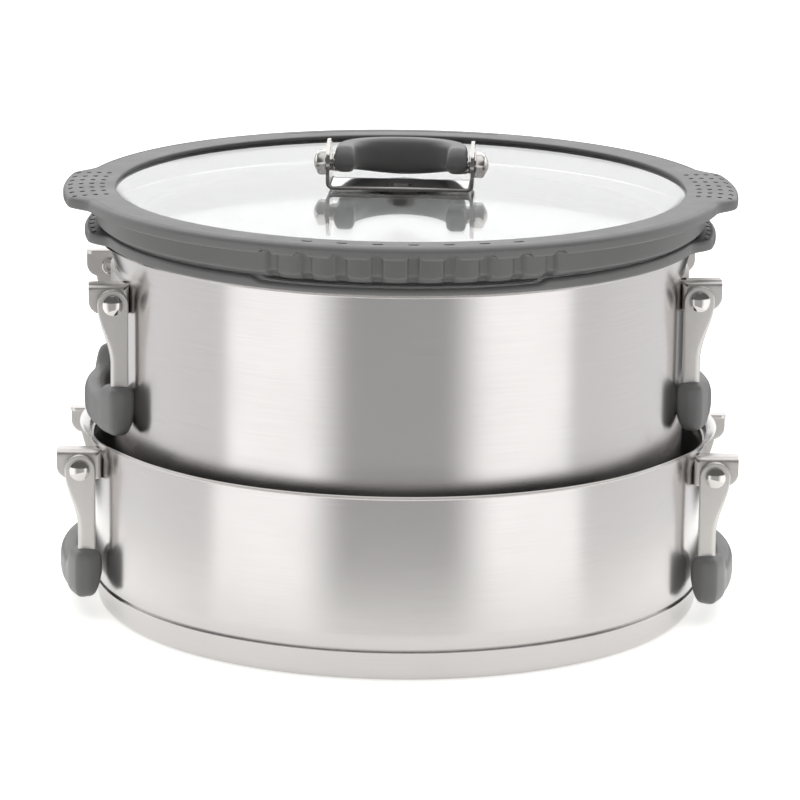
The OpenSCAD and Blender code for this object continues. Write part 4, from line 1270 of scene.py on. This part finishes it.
def lid_pivot_lines(size):
    """Profiles along the pivots' axis, as (radius, distance from the middle). Each comes with its width over
    flats, if it is a nut, and with whether it is closed."""
    nut_edge, chamfer = 0.9, 0.3
    washer_fit, wave_fit, wave_roll = 0.1, 0.2, 0.1
    out = size.half_length
    inside = out - size.sheet
    seat = out + size.washer_thick
    nut_end = seat + size.nut_height
    corner = size.nut / 2 / math.cos(math.pi / 6)
    shank, head = size.bolt / 2, size.bolt_head / 2
    head_in = inside - size.bolt_head_thick
    wave_in = head_in - size.wave
    tip = wave_in - size.eye_length - chamfer
    dome_radius = size.nut / 2 - nut_edge
    nut = outline(
        [(0, seat), (corner, seat), (corner, nut_end - nut_edge), (size.nut / 2 - chamfer, nut_end)],
        [(dome_radius, nut_end)],
        dome(dome_radius, size.dome, 7) + (0, nut_end),
    )
    bolt = outline(
        [(0, tip), (shank - chamfer, tip), (shank, tip + chamfer), (shank, head_in)],
        [(head - chamfer, head_in), (head, head_in + chamfer), (head, inside)],
        [(shank, inside), (shank, nut_end), (0, nut_end)],
    )
    washer = washer_line(shank + washer_fit, size.washer / 2, out, seat)
    wave = washer_line(shank + wave_fit, size.eye / 2 - wave_fit, wave_in, head_in, wave_roll)
    return {
        "lid_cap_nuts": (nut, size.nut, False),
        "lid_nut_washers": (washer, None, True),
        "lid_pivot_bolts": (bolt, None, False),
        "lid_wave_washers": (wave, None, True),
    }


def spun(line, flats, closed, axis):
    """A turned profile as a skin; a width over flats makes its widest part six-sided."""
    angles = circle(NUT_TURN)
    radii = line[:, 0] if flats is None else six_sided(line[:, 0], angles + math.pi / 6, flats)
    return spin(radii, line[:, 1], angles, axis), True, closed


class PieceOperator:
    """What the operators share: the sizes in millimetres."""

    bl_options = {"REGISTER", "UNDO"}

    def sizes(self, context):
        scene = context.scene
        self.pot = in_mm(scene.potset_pots)
        self.handle = in_mm(scene.potset_handles)
        self.lid = in_mm(scene.potset_lids)
        self.lid_handle = in_mm(scene.potset_lid_handle)
        self.pots = pots(self.handle)
        self.lids = lids(self.lid, self.handle)


class POTSET_OT_shells(PieceOperator, bpy.types.Operator):
    """Make the two drawn pots"""

    bl_idname = "potset.shells"
    bl_label = "Pot shells"

    def execute(self, context):
        self.sizes(context)
        for pot in self.pots:
            node = f"{pot.name}_pot_shell"
            lay(node, [shell_skin(pot, self.pot)], finish(context, "satin_steel"))
        return {"FINISHED"}


class POTSET_OT_bases(PieceOperator, bpy.types.Operator):
    """Make the base caps and finish the spreader discs inside them"""

    bl_idname = "potset.bases"
    bl_label = "Pot bases"

    def execute(self, context):
        self.sizes(context)
        for pot in self.pots:
            node = f"{pot.name}_base_cap"
            lay(node, [cap_skin(pot, self.pot)], finish(context, "satin_steel"))
            core = frame["nodes"][f"{pot.name}_base_core"]
            core.data.materials.clear()
            core.data.materials.append(finish(context, "pressed_aluminium"))
        return {"FINISHED"}


class POTSET_OT_brackets(PieceOperator, bpy.types.Operator):
    """Make the four brackets that carry the side handles"""

    bl_idname = "potset.brackets"
    bl_label = "Handle brackets"

    def execute(self, context):
        self.sizes(context)
        for pot in self.pots:
            grids = bracket_skins(pot, self.handle, self.pot)
            for side, angle in SIDES.items():
                node = f"{pot.name}_{side}_bracket"
                skins = [(turned(grid, angle + pot.turn), False, False) for grid in grids]
                steel = finish(context, "barrelled_steel")
                lay(node, skins, steel, sheet=self.handle.sheet, bevel=0.35)
        return {"FINISHED"}


class POTSET_OT_pivots(PieceOperator, bpy.types.Operator):
    """Make the rivets and washers of the side handles"""

    bl_idname = "potset.pivots"
    bl_label = "Handle pivots"

    def execute(self, context):
        self.sizes(context)
        size = self.handle
        for pot in self.pots:
            face = cheek_face(pot, size)
            at = (pot.pivot_x, 0, pot.pivot_z)
            rivet = rivet_line(pot, size)
            washer = washer_line(size.shank / 2, size.washer_width / 2, face, face + size.washer)
            for side, angle in SIDES.items():
                for part, line, closed in (("rivets", rivet, False), ("washers", washer, True)):
                    grid = spin(line[:, 0], line[:, 1], circle(PLAIN_TURN), "Y", at)
                    skins = [(turned(end, angle + pot.turn), True, closed) for end in at_both_ends(grid)]
                    node = f"{pot.name}_{side}_{part}"
                    lay(node, skins, finish(context, "tumbled_steel"))
        return {"FINISHED"}


class POTSET_OT_bails(PieceOperator, bpy.types.Operator):
    """Make the arms of the side handles"""

    bl_idname = "potset.bails"
    bl_label = "Handle bails"

    def execute(self, context):
        self.sizes(context)
        for pot in self.pots:
            arm = arm_skin(pot, self.handle)
            for side, angle in SIDES.items():
                skins = [(turned(end, angle + pot.turn), False, True) for end in at_both_ends(arm)]
                node = f"{pot.name}_{side}_bail"
                lay(node, skins, finish(context, "blasted_steel"), crease=50)
        return {"FINISHED"}


class POTSET_OT_grips(PieceOperator, bpy.types.Operator):
    """Make the silicone grips of the side handles"""

    bl_idname = "potset.grips"
    bl_label = "Handle grips"

    def execute(self, context):
        self.sizes(context)
        for pot in self.pots:
            grip = grip_skin(pot, self.handle)
            for side, angle in SIDES.items():
                node = f"{pot.name}_{side}_grip"
                skins = [(turned(grip, angle + pot.turn), False, True)]
                lay(node, skins, finish(context, "grip_silicone"), crease=60)
        return {"FINISHED"}


class POTSET_OT_panes(PieceOperator, bpy.types.Operator):
    """Make the glass panes of the lids"""

    bl_idname = "potset.panes"
    bl_label = "Lid panes"

    def execute(self, context):
        self.sizes(context)
        bores = {"low": 0.0, "top": 3.0}
        for lid in self.lids:
            skin = pane_skin(lid, bores[lid.name])
            lay(f"{lid.name}_lid_pane", [skin], finish(context, "tempered_glass"))
        return {"FINISHED"}


class POTSET_OT_rims(PieceOperator, bpy.types.Operator):
    """Make the silicone strainer rims of the lids"""

    bl_idname = "potset.rims"
    bl_label = "Lid rims"

    def execute(self, context):
        self.sizes(context)
        for lid in self.lids:
            skin = rim_skin(lid, self.lid)
            lay(f"{lid.name}_lid_rim", [skin], finish(context, "rim_silicone"), crease=50)
        return {"FINISHED"}


class POTSET_OT_lid_bracket(PieceOperator, bpy.types.Operator):
    """Make the bracket of the lid handle and what holds it to the pane"""

    bl_idname = "potset.lid_bracket"
    bl_label = "Lid bracket"

    def execute(self, context):
        self.sizes(context)
        size = self.lid_handle
        angle = lid_handle_turn()
        low, high = node_box("lid_handle_bracket")
        grid, rows, columns = lid_bracket_skin(size, low[2], high[2])
        steel = finish(context, "tumbled_steel")
        skins = [(turned(grid, angle), rows, columns)]
        lay("lid_handle_bracket", skins, steel, sheet=size.sheet, bevel=0.6)
        seals = ("lid_gasket", "lid_under_washer")
        for node, (line, flats, closed) in lid_fixings(size).items():
            grid, rows, columns = spun(line, flats, closed, "Z")
            material, slot = (steel, "polished_fitting_steel")
            if node in seals:
                material, slot = finish(context, "grey_rubber"), "seal_rubber"
            lay(node, [(turned(grid, angle), rows, columns)], material)
        return {"FINISHED"}


class POTSET_OT_lid_pivots(PieceOperator, bpy.types.Operator):
    """Make the bolts, washers and cap nuts that the lid handle turns on"""

    bl_idname = "potset.lid_pivots"
    bl_label = "Lid pivots"

    def execute(self, context):
        self.sizes(context)
        angle, pivot = lid_handle_turn(), lid_pivot()
        waves, wave_height = 3, 0.2
        for node, (line, flats, closed) in lid_pivot_lines(self.lid_handle).items():
            grid, rows, columns = spun(line, flats, closed, "X")
            if node == "lid_wave_washers":
                wavy = wave_height * np.sin(waves * circle(len(grid)))
                grid[:, :, 0] += wavy[:, None]
            grid = grid + (0, 0, pivot)
            skins = [(turned(end, angle), rows, columns) for end in (grid, grid * (-1, 1, 1))]
            lay(node, skins, finish(context, "tumbled_steel"))
        return {"FINISHED"}


class POTSET_OT_lid_handle(PieceOperator, bpy.types.Operator):
    """Make the eyes and the silicone grip of the lid handle"""

    bl_idname = "potset.lid_handle"
    bl_label = "Lid handle"

    def execute(self, context):
        self.sizes(context)
        bolt_fit, eye_roll = 0.1, 0.5
        size = self.lid_handle
        angle, pivot = lid_handle_turn(), lid_pivot()
        far = size.half_length - size.sheet - size.bolt_head_thick - size.wave - self.handle.play
        line = washer_line(size.bolt / 2 + bolt_fit, size.eye / 2, far - size.eye_length, far, eye_roll)
        grid = spin(line[:, 0], line[:, 1], circle(PLAIN_TURN), "X") + (0, 0, pivot)
        eyes = [(turned(end, angle), True, True) for end in (grid, grid * (-1, 1, 1))]
        lay("lid_bail", eyes, finish(context, "tumbled_steel"))
        grid, rows, columns = lid_grip_skin(size, pivot)
        skins = [(turned(grid, angle), rows, columns)]
        lay("lid_grip", skins, finish(context, "grip_silicone"), crease=60)
        return {"FINISHED"}


def lid_handle_turn():
    """How far the lid handle is turned, from its hinge in the frame."""
    axis = JOINTS["lid_handle_swing"]["axis"]
    return math.atan2(axis[1], axis[0])


def lid_pivot():
    """Height of the lid handle's pivots, in millimetres."""
    return JOINTS["lid_handle_swing"]["pos_m"][2] / MM


def flat_disc(name, radius, inner, z, material):
    """Flat ring of the floor, from an inner to an outer radius, as a stage object."""
    columns = 128
    grid = spin(np.array([inner, radius]), np.array([z, z]), circle(columns))
    mesh = mesh_of(name, [(grid, True, False)])
    mesh.materials.append(material)
    disc = bpy.data.objects.new(name, mesh)
    bpy.context.scene.collection.objects.link(disc)
    return disc


def studio_world(stage):
    """Light all round, by direction: a dark front where the camera stands, two bright side panels with soft
    inner edges, a plain room beside them and a dark back; above the horizon a darker front and a bright back,
    and a soft overhead. The camera itself sees plain white."""
    # Angles from the front, to both sides, over which one zone passes into the next.
    panel_in = {"From Min": math.radians(17), "From Max": math.radians(39)}
    panel_out = {"From Min": math.radians(68), "From Max": math.radians(76)}
    back_below = {"From Min": math.radians(145), "From Max": math.radians(155)}
    back_above = {"From Min": math.radians(85), "From Max": math.radians(115)}
    # Heights of a direction, 0 at the horizon and 1 straight up.
    over_horizon = {"From Min": 0.06, "From Max": 0.12}
    overhead = {"From Min": 0.68, "From Max": 0.82}
    world = bpy.data.worlds.new("studio")
    world.use_nodes = True
    tree = world.node_tree
    tree.nodes.clear()
    direction = add(tree, "ShaderNodeTexCoord")
    parts = add(tree, "ShaderNodeSeparateXYZ", {}, {"Vector": direction.outputs["Generated"]})
    sideways = add(tree, "ShaderNodeMath", {}, {0: parts.outputs["X"]}, operation="ABSOLUTE")
    ahead = add(tree, "ShaderNodeMath", {1: -1.0}, {0: parts.outputs["Y"]}, operation="MULTIPLY")
    azimuth = add(
        tree, "ShaderNodeMath", {}, {0: sideways.outputs[0], 1: ahead.outputs[0]}, operation="ARCTAN2"
    )
    panel = add(
        tree, "ShaderNodeMapRange", {**panel_in, "To Min": stage.front_dark, "To Max": stage.soft_boxes},
        {"Value": azimuth.outputs[0]}, interpolation_type="SMOOTHSTEP",
    )
    past = add(
        tree, "ShaderNodeMapRange", {**panel_out, "To Min": 0.0, "To Max": stage.soft_boxes - stage.room},
        {"Value": azimuth.outputs[0]}, interpolation_type="SMOOTHSTEP",
    )
    behind = add(
        tree, "ShaderNodeMapRange", {**back_below, "To Min": 0.0, "To Max": stage.room - stage.back_low},
        {"Value": azimuth.outputs[0]}, interpolation_type="SMOOTHSTEP",
    )
    beside = add(
        tree, "ShaderNodeMath", {}, {0: panel.outputs["Result"], 1: past.outputs["Result"]},
        operation="SUBTRACT",
    )
    around = add(
        tree, "ShaderNodeMath", {}, {0: beside.outputs[0], 1: behind.outputs["Result"]}, operation="SUBTRACT"
    )
    high = add(
        tree, "ShaderNodeMapRange", {**back_above, "To Min": stage.front_high, "To Max": stage.back_high},
        {"Value": azimuth.outputs[0]}, interpolation_type="SMOOTHSTEP",
    )
    above = add(
        tree, "ShaderNodeMapRange", over_horizon, {"Value": parts.outputs["Z"]},
        interpolation_type="SMOOTHSTEP",
    )
    upward = add(
        tree, "ShaderNodeMapRange", overhead, {"Value": parts.outputs["Z"]}, interpolation_type="SMOOTHSTEP"
    )
    sides = add(
        tree, "ShaderNodeMix", {},
        {"Factor": above.outputs["Result"], "A": around.outputs[0], "B": high.outputs["Result"]},
    )
    lit = add(
        tree, "ShaderNodeMix", {"B": stage.overhead},
        {"Factor": upward.outputs["Result"], "A": sides.outputs["Result"]},
    )
    path = add(tree, "ShaderNodeLightPath")
    seen = add(
        tree, "ShaderNodeMix", {"B": 1.0},
        {"Factor": path.outputs["Is Camera Ray"], "A": lit.outputs["Result"]},
    )
    light = add(tree, "ShaderNodeBackground", {"Color": (1, 1, 1, 1)}, {"Strength": seen.outputs["Result"]})
    add(tree, "ShaderNodeOutputWorld", {}, {"Surface": light.outputs["Background"]})
    return world


class POTSET_OT_stage(PieceOperator, bpy.types.Operator):
    """Make the pale floor, the studio light and the camera"""

    bl_idname = "potset.stage"
    bl_label = "Stage"

    def execute(self, context):
        floor_z, far_clip = -0.05, 100
        stage = in_mm(context.scene.potset_stage)
        material = finish(context, "pale_floor")
        flat_disc("table", stage.table, 0, floor_z, material)
        floor = flat_disc("floor", stage.floor_half, stage.table, floor_z, material)
        floor.visible_glossy = False
        scene = context.scene
        scene.world = studio_world(stage)
        scene.view_settings.view_transform = "Standard"
        camera_data = bpy.data.cameras.new("camera")
        camera_data.lens = stage.lens
        camera_data.clip_end = far_clip
        camera = bpy.data.objects.new("camera", camera_data)
        scene.collection.objects.link(camera)
        back = Vector((0, -math.cos(stage.elevation), math.sin(stage.elevation)))
        aim = Vector((stage.aim_side, 0, stage.aim_up))
        camera.location = (aim + back * stage.distance) * MM
        camera.rotation_mode = "QUATERNION"
        level_turn = (-back).to_track_quat("-Z", "Y")
        camera.rotation_quaternion = level_turn @ Quaternion((0, 0, 1), stage.roll)
        scene.camera = camera
        return {"FINISHED"}


OPERATORS = (
    POTSET_OT_shells,
    POTSET_OT_bases,
    POTSET_OT_brackets,
    POTSET_OT_pivots,
    POTSET_OT_bails,
    POTSET_OT_grips,
    POTSET_OT_panes,
    POTSET_OT_rims,
    POTSET_OT_lid_bracket,
    POTSET_OT_lid_pivots,
    POTSET_OT_lid_handle,
    POTSET_OT_stage,
)


class POTSET_PT_panel(bpy.types.Panel):
    """Lists the pot set's pieces and sizes"""

    bl_idname = "POTSET_PT_panel"
    bl_label = "Nesting pot set"
    bl_space_type = "VIEW_3D"
    bl_region_type = "UI"
    bl_category = "Pot set"

    def draw(self, context):
        for operator in OPERATORS:
            self.layout.operator(operator.bl_idname)
        for name in SIZE_GROUPS:
            group = getattr(context.scene, name)
            box = self.layout.box()
            for value in group.__annotations__:
                box.prop(group, value)


CLASSES = (*SIZE_GROUPS.values(), *OPERATORS, POTSET_PT_panel)


def register():
    for made in CLASSES:
        bpy.utils.register_class(made)
    for name, group in SIZE_GROUPS.items():
        setattr(bpy.types.Scene, name, PointerProperty(type=group))


def unregister():
    for name in SIZE_GROUPS:
        delattr(bpy.types.Scene, name)
    for made in reversed(CLASSES):
        bpy.utils.unregister_class(made)


def main():
    """Makes every piece in order."""
    register()
    for operator in OPERATORS:
        module, name = operator.bl_idname.split(".")
        getattr(getattr(bpy.ops, module), name)()


if __name__ == "__main__":
    main()
